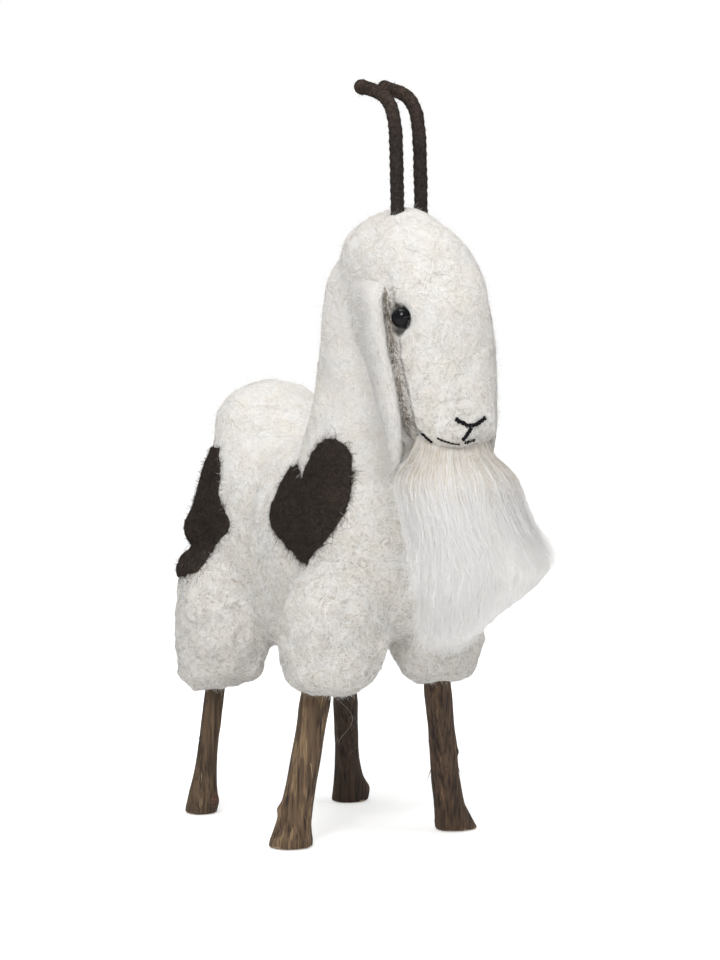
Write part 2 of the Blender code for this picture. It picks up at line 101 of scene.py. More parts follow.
# Felt
SKIN_VOXEL = 0.55 * MM
SKIN_RELAX = 30
SKIN_SWELL = 0.25 * MM
STYLE_RELAX = 30                    # rounds that blend the styles of neighbouring felted parts
CREASE_DEPTH = 1.9 * MM
CREASE_WIDTH = 1.2 * MM
CREASE_FADE = 12.0 * MM             # the crease comes up from nothing over this length
# Dark fibres in the crease beside each ear, painted shade.
CREASE_SHADE_FIBRES = 900
EYE_HOLLOW_DEPTH = {"right": 1.2 * MM, "left": -0.7 * MM}
EYE_HOLLOW_SIZE = 2.8 * MM
FELT_STYLE = {                      # lump height, tuft height, laid fibres per square millimetre
    "torso_coat": (0.45, 0.13, 0.60),
    "neck_coat": (0.35, 0.11, 0.50),
    "head": (0.30, 0.15, 0.80),
    "thigh_front_right": (1.00, 0.30, 1.50),
    "thigh_front_left": (0.90, 0.28, 1.40),
    "thigh_hind_right": (1.00, 0.30, 1.50),
    "thigh_hind_left": (0.90, 0.28, 1.40),
}
# Dents and lobes needled into the body: place, size and push, in millimetres
SHAPING = (
    ((-17.0, 49.0, 92.0), 7.0, (2.8, -1.6, 0.0)),       # flat of the rump above the hip patch
    ((-18.5, 49.0, 71.5), 5.2, (-3.2, 1.8, 0.0)),       # fold between rump and hind thigh
    ((-24.0, 41.5, 34.0), 4.6, (-1.7, 1.0, -0.8)),      # lobe under the hind thigh
    ((-22.0, -10.5, 34.0), 4.2, (-0.8, 0.4, -1.8)),     # lobe under the front thigh
    ((5.5, -56.5, 94.0), 6.2, (-3.4, 2.0, 0.8)),        # chin rounded off
    ((8.0, -52.0, 117.0), 14.0, (-0.9, 0.5, 0.0)),      # far cheek
    ((9.0, -30.0, 146.0), 7.0, (-1.6, 0.3, -1.7)),      # crown, far side
    ((-11.0, -26.0, 147.0), 6.0, (0.9, -0.3, -0.9)),    # crown, near side
)
BODY_FUZZ = 20000
STRAYS = 60
STRAY_MARGIN = 2.0 * MM             # long fibres keep this far from a patch

# Ears, tail, beard and patches
EAR_VOXEL = 0.6 * MM
EAR_MERGE = 13.0 * MM               # length over which an ear grows out of the head
EAR_EVEN = 25                       # rounds that spread the thinning evenly over an ear
EAR_FIBRES = 6000
TAIL_FIBRES = 2500
BEARD_VOXEL = 0.8 * MM
BEARD_BATCHES = 4
BEARD_STRANDS = 7000
BEARD_FLUFF = 12000
BEARD_SUNK = 5.0 * MM
BEARD_LIFT = 2.5 * MM               # the far side of the fan ends higher
PATCH_VOXEL = 0.5 * MM
PATCH_FIBRES = 5000
PATCH_RISE = 0.40                   # thickness over and under the skin, in millimetres
PATCH_MARGIN = 0.75 * MM            # white fibres keep this far from a patch
PATCH_FUZZ = {"heart_patch": 1.2, "hip_patch": 3.2}     # how much longer than 0.4 mm, in millimetres
PATCH_STRETCH = {"heart_patch": 5.2 * MM, "hip_patch": 4.0 * MM}
HEART_NOTCH = ((-18.0, -4.5, 90.5), 2.6, 3.6)       # place, size and depth in millimetres

# Horns, eyes and thread
HORN_RADIUS = 1.55 * MM
HORN_SUNK = 3.0 * MM
HORN_PITCH = 1.9 * MM
HORN_FIBRES = 2600
HORN_SIDES = 24
WALK_STEPS = 4000                   # most steps of a walk through a solid
WALK_RAYS = 16
BEAD_SUNK = {"right": 0.0, "left": 1.7 * MM}
THREAD_RADIUS = 0.45 * MM
THREAD_PITCH = 2.0 * MM
THREAD_EASE = 14                    # rounds of smoothing that turn a bent stitch into an arc

TWIG_SIDES = 56
# Legs further back and on the far side get darker bark and wood: painted shade, besides each twig's own
# colour.
BARK_LOOKS_WITH_SHADE = {                      # shadow, bark, peeled wood, share left bark
    "front_right": ((0.030, 0.018, 0.011), (0.105, 0.066, 0.038), (0.30, 0.20, 0.11), 0.55),
    "front_left": ((0.022, 0.013, 0.009), (0.075, 0.046, 0.028), (0.24, 0.14, 0.08), 0.60),
    "hind_right": ((0.026, 0.016, 0.009), (0.085, 0.055, 0.032), (0.22, 0.15, 0.08), 0.60),
    "hind_left": ((0.016, 0.010, 0.007), (0.050, 0.031, 0.020), (0.12, 0.07, 0.04), 0.66),
}
TWIG_KNOTS = {                      # turn round the twig, height, size, red heart
    "leg_front_right": (2.6, 9.0 * MM, 1.3 * MM, False),
    "leg_front_left": (-0.9, 20.0 * MM, 1.2 * MM, False),
    "leg_hind_right": (-1.0, 3.2 * MM, 1.9 * MM, True),
    "leg_hind_left": (-0.35, 3.4 * MM, 2.0 * MM, True),
}
STITCHES = {                        # thickness, and how much further the ends run
    "nose_stitch_bar": (1.0, 0.0),
    "nose_stitch_stem": (0.95, 1.25 * MM),
    "nose_stitch_foot": (0.80, 0.8 * MM),
    "mouth_stitch_front": (0.50, 0.6 * MM),
    "mouth_stitch_back": (0.65, 0.3 * MM),
}

WOOL_SCATTER = (1.0, 0.92, 0.84)    # how far red, green and blue light spread in wool
# Materials of one noise: its settings, colours along it, depth of its relief and shader constants
NOISE_LOOKS = {
    "dark_felt": ((1400.0, 4.0, 1.2), ((0.3, (0.024, 0.019, 0.017)), (0.5, (0.050, 0.041, 0.036)),
                                       (0.72, (0.090, 0.070, 0.058))),
                  0.0003, {"Roughness": 1.0, "Specular IOR Level": 0.06}),
    "knot_wood": ((1500.0, 5.0, 1.5), ((0.38, (0.035, 0.016, 0.010)), (0.66, (0.17, 0.075, 0.040))),
                  0.0004, {"Roughness": 0.6}),
    "sawn_wood": ((2200.0,), ((0.3, (0.16, 0.10, 0.055)), (0.7, (0.46, 0.36, 0.24))),
                  0.0002, {"Roughness": 0.8}),
    "black_glass": ((500.0,), ((0.4, (0.004, 0.004, 0.005)), (0.7, (0.010, 0.010, 0.013))),
                    0.0, {"Roughness": 0.07, "Specular IOR Level": 0.22, "IOR": 1.5}),
    "black_thread": ((4000.0, 2.0), ((0.3, (0.004, 0.004, 0.005)), (0.7, (0.012, 0.011, 0.013))),
                     0.0, {"Roughness": 0.8, "Specular IOR Level": 0.12}),
    "craft_wire": ((900.0, 3.0), ((0.3, (0.30, 0.28, 0.26)), (0.7, (0.55, 0.53, 0.50))),
                   0.0, {"Metallic": 1.0, "Roughness": 0.4}),
}

# Colours of single fibres
FIBRE_TONES = {
    "wool": {"bright": (0.92, 0.91, 0.895), "plain": (0.86, 0.845, 0.825), "cream": (0.82, 0.77, 0.70),
             "shade": (0.58, 0.55, 0.51), "warm": (0.74, 0.65, 0.53)},
    "beard": {"bright": (0.97, 0.965, 0.955), "plain": (0.93, 0.92, 0.91), "cream": (0.88, 0.84, 0.78),
              "shade": (0.70, 0.67, 0.64), "warm": (0.78, 0.69, 0.57)},
    # The crease tones are painted shade: dark fibres that darken the crease beside each ear.
    "crease": {"brown": (0.11, 0.075, 0.05), "grey": (0.32, 0.285, 0.24)},
    "splinter": {"dark": (0.045, 0.028, 0.018), "brown": (0.11, 0.07, 0.04), "pale": (0.34, 0.26, 0.16)},
    "dark": {"plain": (0.050, 0.041, 0.036), "warm": (0.082, 0.062, 0.050), "deep": (0.024, 0.019, 0.017)},
}
FIBRE_SURFACE = {"dark": (1.0, 0.02)}                   # roughness and shine, where they aren't the usual

# ---------------------------------------------------------------- numbers and meshes

def unit(vectors):
    """Vectors of length one."""
    return vectors / np.maximum(np.linalg.norm(vectors, axis=-1, keepdims=True), 1e-12)


def ease(low, high, value):
    """Smooth step from 0 at low to 1 at high."""
    t = np.clip((value - low) / (high - low), 0.0, 1.0)
    return t * t * (3.0 - 2.0 * t)


def bumps(points, size, seed):
    """Smooth random value from -1 to 1 at each point, with bumps about as wide as size."""
    cell = points / size
    base = np.floor(cell).astype(np.int64)
    t = cell - base
    t = t * t * (3.0 - 2.0 * t)
    total = np.zeros(len(points))
    for corner in product((0, 1), repeat=3):
        key = (base + corner) * np.array((73856093, 19349663, 83492791))
        mixed = key[:, 0] ^ key[:, 1] ^ key[:, 2] ^ (seed * 2654435761)
        mixed = ((mixed ^ (mixed >> 13)) * 1274126177) & 0xFFFFFF
        mixed = (mixed ^ (mixed >> 11)) & 0xFFFF
        weight = np.prod(np.where(np.array(corner), t, 1.0 - t), axis=1)
        total += weight * (mixed / 32767.5 - 1.0)
    return total


def mesh_points(mesh):
    """Vertex places as an array."""
    flat = np.empty(len(mesh.vertices) * 3)
    mesh.vertices.foreach_get("co", flat)
    return flat.reshape(-1, 3)


def mesh_normals(mesh):
    """Vertex normals as an array."""
    flat = np.empty(len(mesh.vertices) * 3)
    mesh.vertex_normals.foreach_get("vector", flat)
    return flat.reshape(-1, 3)


def mesh_edges(mesh):
    """Edges as pairs of vertex numbers."""
    flat = np.empty(len(mesh.edges) * 2, dtype=np.int64)
    mesh.edges.foreach_get("vertices", flat)
    return flat.reshape(-1, 2)


def set_points(mesh, points):
    """Move the vertices."""
    mesh.vertices.foreach_set("co", np.ascontiguousarray(points, dtype=np.float64).ravel())
    mesh.update()


def build_mesh(name, points, faces, slots=None):
    """Mesh from arrays; faces all have the same number of corners."""
    mesh = bpy.data.meshes.new(name)
    mesh.vertices.add(len(points))
    mesh.vertices.foreach_set("co", np.asarray(points, dtype=np.float64).ravel())
    corners = faces.shape[1]
    mesh.loops.add(faces.size)
    mesh.loops.foreach_set("vertex_index", faces.ravel().astype(np.int32))
    mesh.polygons.add(len(faces))
    mesh.polygons.foreach_set("loop_start", np.arange(0, faces.size, corners, dtype=np.int32))
    if slots is not None:
        mesh.polygons.foreach_set("material_index", slots.astype(np.int32))
    mesh.update(calc_edges=True)
    return mesh


def link(name, data):
    """New object in the scene."""
    obj = bpy.data.objects.new(name, data)
    bpy.context.scene.collection.objects.link(obj)
    return obj


def finished(bm, name):
    """Mesh from a bmesh that is done with."""
    mesh = bpy.data.meshes.new(name)
    bm.to_mesh(mesh)
    bm.free()
    return mesh


def add_piece(name, mesh, materials, smooth=True):
    """Object in the scene, with its materials."""
    obj = link(name, mesh)
    for material in materials:
        mesh.materials.append(material)
    if smooth:
        mesh.shade_smooth()
    return obj


def relax(values, edges, rounds, strength=0.5):
    """Pull every point, or value, towards the mean of its neighbours."""
    values = values.reshape(len(values), -1).copy()
    count = np.maximum(np.bincount(edges.ravel(), minlength=len(values)), 1)[:, None]
    for _ in range(rounds):
        total = np.zeros_like(values)
        for axis in range(values.shape[1]):
            total[:, axis] += np.bincount(edges[:, 0], values[edges[:, 1], axis], len(values))
            total[:, axis] += np.bincount(edges[:, 1], values[edges[:, 0], axis], len(values))
        values += strength * (total / count - values)
    return values


def remeshed(name, source_meshes, voxel):
    """One even quad mesh round the outside of closed meshes."""
    joined = bmesh.new()
    for mesh in source_meshes:
        joined.from_mesh(mesh)
    obj = link(name, finished(joined, name))
    modifier = obj.modifiers.new("even", "REMESH")
    modifier.mode = "VOXEL"
    modifier.voxel_size = voxel
    bpy.context.view_layer.update()
    evaluated = obj.evaluated_get(bpy.context.evaluated_depsgraph_get())
    result = bpy.data.meshes.new_from_object(evaluated)
    bpy.data.objects.remove(obj, do_unlink=True)
    return outer_surface(result)


def outer_surface(mesh):
    """Drop closed pockets inside: keep what hangs together with the highest point."""
    bm = bmesh.new()
    bm.from_mesh(mesh)
    top = max(bm.verts, key=lambda v: v.co.z)
    seen = {top}
    queue = [top]
    while queue:
        for edge in queue.pop().link_edges:
            for vertex in edge.verts:
                if vertex not in seen:
                    seen.add(vertex)
                    queue.append(vertex)
    bmesh.ops.delete(bm, geom=[v for v in bm.verts if v not in seen], context="VERTS")
    bm.to_mesh(mesh)
    bm.free()
    return mesh


def quads_of(mesh):
    """Faces as rows of four corners; a triangle repeats its last corner."""
    rows = [tuple(polygon.vertices) for polygon in mesh.polygons]
    return np.array([row if len(row) == 4 else (*row, row[-1]) for row in rows])


def tree_of(points, quads):
    """Search tree for the nearest place on a surface."""
    faces = [row if row[2] != row[3] else row[:3] for row in quads.tolist()]
    return BVHTree.FromPolygons(points.tolist(), faces)


def nearest(tree, points):
    """Nearest places on a surface and the normals there."""
    places = np.empty_like(points)
    normals = np.empty_like(points)
    for i, point in enumerate(points):
        place, normal, _, _ = tree.find_nearest(Vector(point))
        places[i] = place
        normals[i] = normal
    return places, normals


def crossings(points, edges, run, level):
    """Points where edges cross one level of a value that runs over the points."""
    a, b = edges[:, 0], edges[:, 1]
    crossing = (run[a] - level) * (run[b] - level) < 0.0
    a, b = a[crossing], b[crossing]
    share = (level - run[a]) / (run[b] - run[a])
    return points[a] + share[:, None] * (points[b] - points[a])


def slice_solid(points, edges, height):
    """Points where a level plane crosses a solid's edges."""
    return crossings(points, edges, points[:, 2], height)


def soft_skin(name, node, voxel, rounds):
    """Even, relaxed skin round one CAD solid: its mesh, edges and points."""
    mesh = remeshed(name, [nodes[node].data], voxel)
    edges = mesh_edges(mesh)
    points = relax(mesh_points(mesh), edges, rounds)
    set_points(mesh, points)
    return mesh, edges, points


def walk_through(mesh, start, heading, step, reach):
    """Middle line of a tube-like solid, found by walking through it from inside one end."""
    tree = tree_of(mesh_points(mesh), quads_of(mesh))
    spot, way, line = Vector(start), Vector(heading).normalized(), []
    for _ in range(WALK_STEPS):
        side = way.orthogonal().normalized()
        rays = [Quaternion(way, k * math.tau / WALK_RAYS) @ side for k in range(WALK_RAYS)]
        hits = [hit for hit in (tree.ray_cast(spot, ray, reach)[0] for ray in rays) if hit]
        if len(hits) < 0.75 * WALK_RAYS:
            break
        centre = sum(hits, Vector()) / len(hits)
        if line and (centre - line[-1]).length > 0.2 * step:
            way = way.lerp((centre - line[-1]).normalized(), 0.3).normalized()
        line.append(centre)
        ahead = tree.ray_cast(centre, way)[3]
        if ahead is None or ahead < 1.2 * step:
            break
        spot = centre + way * step
    return np.array([list(point) for point in line])


def sliced_line(mesh, count):
    """Middle line of a solid that is longer than it is thick, from slices across its length."""
    points, edges = mesh_points(mesh), mesh_edges(mesh)
    middle = points.mean(axis=0)
    axis = np.linalg.svd(points - middle, full_matrices=False)[2][0]
    run = (points - middle) @ axis
    line = []
    for level in np.linspace(run.min(), run.max(), count + 2)[1:-1]:
        cut = crossings(points, edges, run, level)
        line.append(0.5 * (cut.min(axis=0) + cut.max(axis=0)))
    return np.array(line)


def resampled(line, step, rounds=6):
    """The same line with even spacing and its small kinks smoothed, and the length run at each point."""
    line = relax_line(line, rounds)
    run = np.concatenate(([0.0], np.cumsum(np.linalg.norm(np.diff(line, axis=0), axis=1))))
    even = np.linspace(0.0, run[-1], max(int(run[-1] / step), 4))
    return np.stack([np.interp(even, run, line[:, axis]) for axis in range(3)], axis=1), even


def relax_line(line, rounds):
    """The same line without its small kinks."""
    for _ in range(rounds):
        line[1:-1] = 0.5 * line[1:-1] + 0.25 * (line[:-2] + line[2:])
    return line


def frames_along(line):
    """Two directions square to a line at each of its points, which don't twist round it."""
    way = unit(np.gradient(line, axis=0))
    side = np.empty_like(way)
    side[0] = np.array(Vector(way[0]).orthogonal().normalized())
    for i in range(1, len(way)):
        side[i] = unit(side[i - 1] - way[i] * (side[i - 1] @ way[i]))
    return side, np.cross(way, side)


def skin_tube(name, line, radius, sides):
    """Closed tube round a line. radius is stations x sides."""
    across, up = frames_along(line)
    turn = np.linspace(0.0, math.tau, sides, endpoint=False)
    ring = across[:, None, :] * np.cos(turn)[None, :, None] + up[:, None, :] * np.sin(turn)[None, :, None]
    points = (line[:, None, :] + ring * radius[..., None]).reshape(-1, 3)
    return close_rings(name, points, len(line), sides)


def close_rings(name, points, stations, sides):
    """Closed mesh of rings of points, with its two ends filled."""
    row = np.arange(stations - 1)[:, None] * sides
    column = np.arange(sides)[None, :]
    after = (column + 1) % sides
    quads = np.stack((row + column, row + after, row + sides + after, row + sides + column), axis=-1)
    bm = bmesh.new()
    vertices = [bm.verts.new(point) for point in points]
    for quad in quads.reshape(-1, 4):
        bm.faces.new([vertices[k] for k in quad])
    bm.faces.new(vertices[:sides][::-1])
    bm.faces.new(vertices[-sides:])
    bmesh.ops.recalc_face_normals(bm, faces=bm.faces)
    return finished(bm, name)


# ---------------------------------------------------------------- materials

def plain_material(name, colour, roughness=0.9, shine=0.25):
    """One even colour, for single fibres."""
    material = bpy.data.materials.new(name)
    material.use_nodes = True
    shader = material.node_tree.nodes["Principled BSDF"]
    shader.inputs["Base Color"].default_value = (*colour, 1.0)
    shader.inputs["Roughness"].default_value = roughness
    shader.inputs["Specular IOR Level"].default_value = shine
    return material


def map_range(tree, value, low, high, start=0.0, end=1.0):
    """Value moved from the range low to high into the range start to end."""
    node = tree.nodes.new("ShaderNodeMapRange")
    for socket, number in zip(("From Min", "From Max", "To Min", "To Max"), (low, high, start, end)):
        node.inputs[socket].default_value = number
    tree.links.new(value, node.inputs["Value"])
    return node.outputs["Result"]


class Nodes:
    """Short way to write a procedural material."""

    def __init__(self, name):
        self.material = bpy.data.materials.new(name)
        self.material.use_nodes = True
        self.tree = self.material.node_tree
        self.shader = self.tree.nodes["Principled BSDF"]
        self.coordinates = self.tree.nodes.new("ShaderNodeTexCoord").outputs["Object"]

    def stretched(self, scale):
        """Object coordinates, stretched."""
        mapping = self.tree.nodes.new("ShaderNodeMapping")
        mapping.inputs["Scale"].default_value = scale
        self.tree.links.new(self.coordinates, mapping.inputs["Vector"])
        return mapping.outputs["Vector"]

    def noise(self, vector, scale, detail=4.0, distortion=0.0):
        """Noise value."""
        node = self.tree.nodes.new("ShaderNodeTexNoise")
        node.inputs["Scale"].default_value = scale
        node.inputs["Detail"].default_value = detail
        node.inputs["Distortion"].default_value = distortion
        self.tree.links.new(vector, node.inputs["Vector"])
        return node.outputs["Fac"]

    def along_height(self, low, high, start=0.0, end=1.0):
        """Value that runs from start at one height to end at another."""
        split = self.tree.nodes.new("ShaderNodeSeparateXYZ")
        self.tree.links.new(self.coordinates, split.inputs[0])
        return map_range(self.tree, split.outputs["Z"], low, high, start, end)

    def ramp(self, value, stops):
        """Colours along a value."""
        node = self.tree.nodes.new("ShaderNodeValToRGB")
        elements = node.color_ramp.elements
        while len(elements) < len(stops):
            elements.new(0.5)
        for element, (place, colour) in zip(elements, stops):
            element.position = place
            element.color = (*colour, 1.0)
        self.tree.links.new(value, node.inputs["Fac"])
        return node.outputs["Color"]

    def mix(self, factor, first, second, blend="MIX"):
        """Mix of two colours, by a value or by one fixed share."""
        node = self.tree.nodes.new("ShaderNodeMix")
        node.data_type = "RGBA"
        node.blend_type = blend
        if isinstance(factor, float):
            node.inputs["Factor"].default_value = factor
        else:
            self.tree.links.new(factor, node.inputs["Factor"])
        self.tree.links.new(first, node.inputs[6])
        self.tree.links.new(second, node.inputs[7])
        return node.outputs[2]

    def bump(self, height, distance):
        """Surface relief."""
        node = self.tree.nodes.new("ShaderNodeBump")
        node.inputs["Distance"].default_value = distance
        node.inputs["Strength"].default_value = 1.0
        self.tree.links.new(height, node.inputs["Height"])
        self.tree.links.new(node.outputs["Normal"], self.shader.inputs["Normal"])

    def colour(self, socket):
        """Use a colour as the base."""
        self.tree.links.new(socket, self.shader.inputs["Base Color"])

    def set(self, constants):
        """Constants on the shader."""
        for name, value in constants.items():
            self.shader.inputs[name].default_value = value


def felt_material(name, smooth_above, pit_shade_below):
    """Matted wool: blotches, fine streaks, and small pits below a height, where it is felted loosely, painted
    grey as shade between the fibres.
    """
    felt = Nodes(name)
    blotch = felt.noise(felt.coordinates, 170.0, 3.0)
    streak = felt.noise(felt.coordinates, 1500.0, 4.0, 2.2)
    pit = felt.noise(felt.coordinates, 620.0, 6.0, 1.4)
    pale = felt.ramp(streak, ((0.30, (0.74, 0.725, 0.70)), (0.50, (0.80, 0.785, 0.765)),
                              (0.72, (0.87, 0.86, 0.845))))
    # The grey at the bottom of this ramp is painted shade in the pits between the fibres.
    pit_shade = felt.ramp(pit, ((0.34, (0.44, 0.42, 0.385)), (0.47, (0.68, 0.66, 0.625)),
                             (0.60, (0.82, 0.805, 0.78))))
    # Below the given height the painted pit shade takes over, so the lower parts come out darker.
    wool = felt.mix(felt.along_height(smooth_above, pit_shade_below, 0.12, 0.75), pale, pit_shade)
    cream = felt.ramp(blotch, ((0.36, (0.96, 0.92, 0.86)), (0.62, (1.0, 1.0, 1.0))))
    felt.colour(felt.mix(0.8, wool, cream, "MULTIPLY"))
    felt.bump(pit, 0.0006)
    felt.set({"Roughness": 0.95, "Specular IOR Level": 0.12, "Sheen Weight": 0.1, "Subsurface Weight": 0.15,
              "Subsurface Scale": 0.0008, "Subsurface Radius": WOOL_SCATTER})
    return felt.material


def combed_material():
    """Loose combed wool: fine streaks down the lock, warmer at the root."""
    wool = Nodes("combed_wool")
    streak = wool.noise(wool.stretched((1.0, 1.0, 0.10)), 1800.0, 4.0, 0.5)
    pale = wool.ramp(streak, ((0.3, (0.80, 0.78, 0.76)), (0.7, (0.90, 0.89, 0.875))))
    warm = wool.ramp(streak, ((0.3, (0.60, 0.50, 0.40)), (0.7, (0.74, 0.66, 0.56))))
    wool.colour(wool.mix(wool.along_height(0.074, 0.098), pale, warm))
    wool.bump(streak, 0.0003)
    wool.set({"Roughness": 0.95, "Specular IOR Level": 0.15, "Subsurface Weight": 0.3,
              "Subsurface Scale": 0.002, "Subsurface Radius": WOOL_SCATTER})
    return wool.material


def horn_material():
    """Dark wool wound tight, browner towards the bent tip."""
    horn = Nodes("wound_wool")
    streak = horn.noise(horn.coordinates, 1500.0, 4.0, 1.0)
    dark = horn.ramp(streak, ((0.3, (0.016, 0.013, 0.013)), (0.7, (0.058, 0.046, 0.045))))
    brown = horn.ramp(streak, ((0.3, (0.040, 0.027, 0.022)), (0.7, (0.125, 0.082, 0.062))))
    horn.colour(horn.mix(horn.along_height(0.166, 0.179), dark, brown))
    horn.bump(streak, 0.0003)
    horn.set({"Roughness": 0.92, "Specular IOR Level": 0.2})
    return horn.material


def noise_material(name, noise, stops, relief, constants):
    """Material with one noise that sets its colour and its relief."""
    looks = Nodes(name)
    grain = looks.noise(looks.coordinates, *noise)
    looks.colour(looks.ramp(grain, stops))
    if relief:
        looks.bump(grain, relief)
    looks.set(constants)
    return looks.material


def bark_material(name, shadow, brown, tan, tan_start):
    """Dry bark: long streaks, with tan wood where it has peeled, and a pale sawn rim at the foot."""
    bark = Nodes(name)
    long_streak = bark.noise(bark.stretched((1.0, 1.0, 0.05)), 1300.0, 6.0, 0.3)
    grain = bark.noise(bark.stretched((1.0, 1.0, 0.06)), 3000.0, 4.0)
    peeled = bark.noise(bark.stretched((1.0, 1.0, 0.07)), 520.0, 3.0, 0.5)
    dark_bark = bark.ramp(long_streak, ((0.34, shadow), (0.50, brown), (0.66, tuple(1.6 * c for c in brown))))
    wood = bark.ramp(grain, ((0.35, brown), (0.65, tan)))
    bare = bark.ramp(peeled, ((tan_start, (0.0, 0.0, 0.0)), (tan_start + 0.06, (1.0, 1.0, 1.0))))
    bark.colour(bark.mix(bare, dark_bark, wood))
    bark.bump(long_streak, 0.0005)
    bark.set({"Roughness": 0.72, "Specular IOR Level": 0.35})
    return bark.material


# ---------------------------------------------------------------- fibres

def ribbons(name, paths, widths, flat_to, tones, tone_of):
    """Thin flat fibres. paths is fibres x stations x 3, flat_to is the way each fibre's flat side faces."""
    count, stations, _ = paths.shape
    along = unit(np.gradient(paths, axis=1))
    across = unit(np.cross(along, flat_to[:, None, :]))
    half = 0.5 * widths[..., None] * across
    points = np.stack((paths - half, paths + half), axis=2).reshape(-1, 3)
    first = (np.arange(count)[:, None] * stations + np.arange(stations - 1)[None, :]).reshape(-1) * 2
    faces = np.stack((first, first + 1, first + 3, first + 2), axis=1)
    slots = np.repeat(tone_of, stations - 1) if tone_of.ndim == 1 else tone_of.ravel()
    return add_piece(name, build_mesh(name, points, faces, slots), tones, smooth=False)


def scatter(points, quads, count, share=None):
    """Random places on a surface, with normals, spread by area and share."""
    a, b, c, d = (points[quads[:, k]] for k in range(4))
    normal = np.cross(c - a, d - b)
    chance = 0.5 * np.linalg.norm(normal, axis=1)
    if share is not None:
        chance = chance * share
    pick = rng.choice(len(quads), count, p=chance / chance.sum())
    u, v = rng.random((2, count, 1))
    near = a[pick] * (1.0 - u) + b[pick] * u
    far = d[pick] * (1.0 - u) + c[pick] * u
    return near * (1.0 - v) + far * v, unit(normal)[pick], pick


def any_tangent(normal):
    """Random direction along the surface."""
    return unit(np.cross(normal, rng.normal(size=normal.shape)))


def laid_paths(tree, place, normal, length, curl, lift, stations=6, heading=None):
    """Fibres that lie on the wool: they wander, and their ends lift a little."""
    heading = any_tangent(normal) if heading is None else heading
    turn = rng.normal(size=len(place)) * curl
    spots, normals = [place], [normal]
    step = (length / (stations - 1))[:, None]
    for _ in range(stations - 1):
        angle = turn * step[:, 0] + rng.normal(size=len(place)) * 0.25
        side = np.cross(normals[-1], heading)
        heading = unit(heading * np.cos(angle)[:, None] + side * np.sin(angle)[:, None])
        spot, facing = nearest(tree, spots[-1] + heading * step)
        heading = unit(heading - facing * np.sum(heading * facing, axis=1, keepdims=True))
        spots.append(spot)
        normals.append(facing)
    ends = np.abs(np.linspace(-1.0, 1.0, stations)) ** 2.0
    wave = 0.35 + 0.65 * rng.random((len(place), stations))
    height = lift[:, None] * (0.25 + 0.75 * ends[None, :]) * wave
    return np.stack(spots, axis=1) + np.stack(normals, axis=1) * height[..., None]


def standing_paths(place, normal, length, lean, stations=4):
    """Loose fibre ends that stand off the wool and bend over."""
    out = unit(normal + any_tangent(normal) * (lean * rng.random(len(place)))[:, None])
    bend = any_tangent(out)
    s = np.linspace(0.0, 1.0, stations)[None, :, None]
    size = length[:, None, None]
    return place[:, None, :] + out[:, None, :] * size * s + bend[:, None, :] * size * 0.55 * s ** 2


def tapered(count, stations, width, spread=0.35):
    """Fibre widths that thin towards the tip."""
    along = 1.0 - 0.65 * np.linspace(0.0, 1.0, stations)[None, :] ** 2
    return width * (1.0 + spread * rng.normal(size=(count, 1))).clip(0.45, 1.8) * along


def pick_tones(count, shares):
    """Tone number of each fibre."""
    return rng.choice(len(shares), count, p=np.array(shares) / sum(shares))


def spread(count, low, span, power=1.0):
    """Random sizes from low to low + span, given in millimetres; a high power makes most of them small."""
    return (low + span * rng.random(count) ** power) * MM


def laid_fibres(name, tree, spots, facing, length, lift, curl, width, tones, shares,
                stations=6, heading=None):
    """Fibres that lie on the wool. length and lift are low, span and power of a spread."""
    count = len(spots)
    length, lift = spread(count, *length), spread(count, *lift)
    paths = laid_paths(tree, spots, facing, length, curl, lift, stations, heading)
    width = tapered(count, stations, width * MM)
    return ribbons(name, paths, width, facing, tones, pick_tones(count, shares))


def fuzz_fibres(name, spots, facing, length, lean, width, tones, shares, stations=4):
    """Loose ends that stand off the wool. length is low, span and power of a spread."""
    count = len(spots)
    paths = standing_paths(spots, facing, spread(count, *length), lean, stations)
    width = tapered(count, stations, width * MM)
    return ribbons(name, paths, width, rng.normal(size=(count, 3)), tones, pick_tones(count, shares))


def fix_on_goat(parts):
    """Fix pieces on the goat."""
    for part in parts:
        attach(part, "goat")


def paint(node, material):
    """Give a solid that is shown as it is its material."""
    nodes[node].data.materials.clear()
    nodes[node].data.materials.append(material)


# ---------------------------------------------------------------- felt

def ear_front(side):
    """Front edge of a hanging ear, from its root to its tip."""
    mesh = nodes[f"ear_{side}"].data
    points, edges = mesh_points(mesh), mesh_edges(mesh)
    line = []
    for z in np.linspace(points[:, 2].max() - 2.0 * MM, points[:, 2].min() + 1.5 * MM, 60):
        cut = slice_solid(points, edges, z)
        line.append(cut[np.argmin(cut[:, 1])])
    return np.array(line)


def shaped(points):
    """Push the wool in and out where it was needled to shape."""
    push = np.zeros_like(points)
    for place, size, way in SHAPING:
        gap = np.linalg.norm(points / MM - place, axis=1) / size
        push += np.exp(-gap ** 2)[:, None] * np.array(way) * MM
    return points + push


def press_creases(points, normals):
    """Press the wool in along the front edge of each ear, and down into a hollow round each eye."""
    depth = np.zeros(len(points))
    for side, sign in SIDES.items():
        on_side = points[:, 0] * sign > 5.0 * MM
        line = ear_front(side)
        gap = np.linalg.norm(points[on_side, None, 1:] - line[None, :, 1:], axis=2).min(axis=1)
        faded = 1.0 - ease(line[0, 2] - CREASE_FADE, line[0, 2], points[on_side, 2])
        depth[on_side] += CREASE_DEPTH * faded * np.exp(-(gap / CREASE_WIDTH) ** 2)
        low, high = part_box(f"eye_bead_{side}")
        eye = np.array(0.5 * (low + high)) + (0.0, 1.8 * MM, -1.2 * MM)
        reach = np.linalg.norm((points - eye) * (0.6, 0.8, 0.6), axis=1)
        depth += EYE_HOLLOW_DEPTH[side] * np.exp(-(reach / EYE_HOLLOW_SIZE) ** 2)
    return points - normals * depth[:, None]


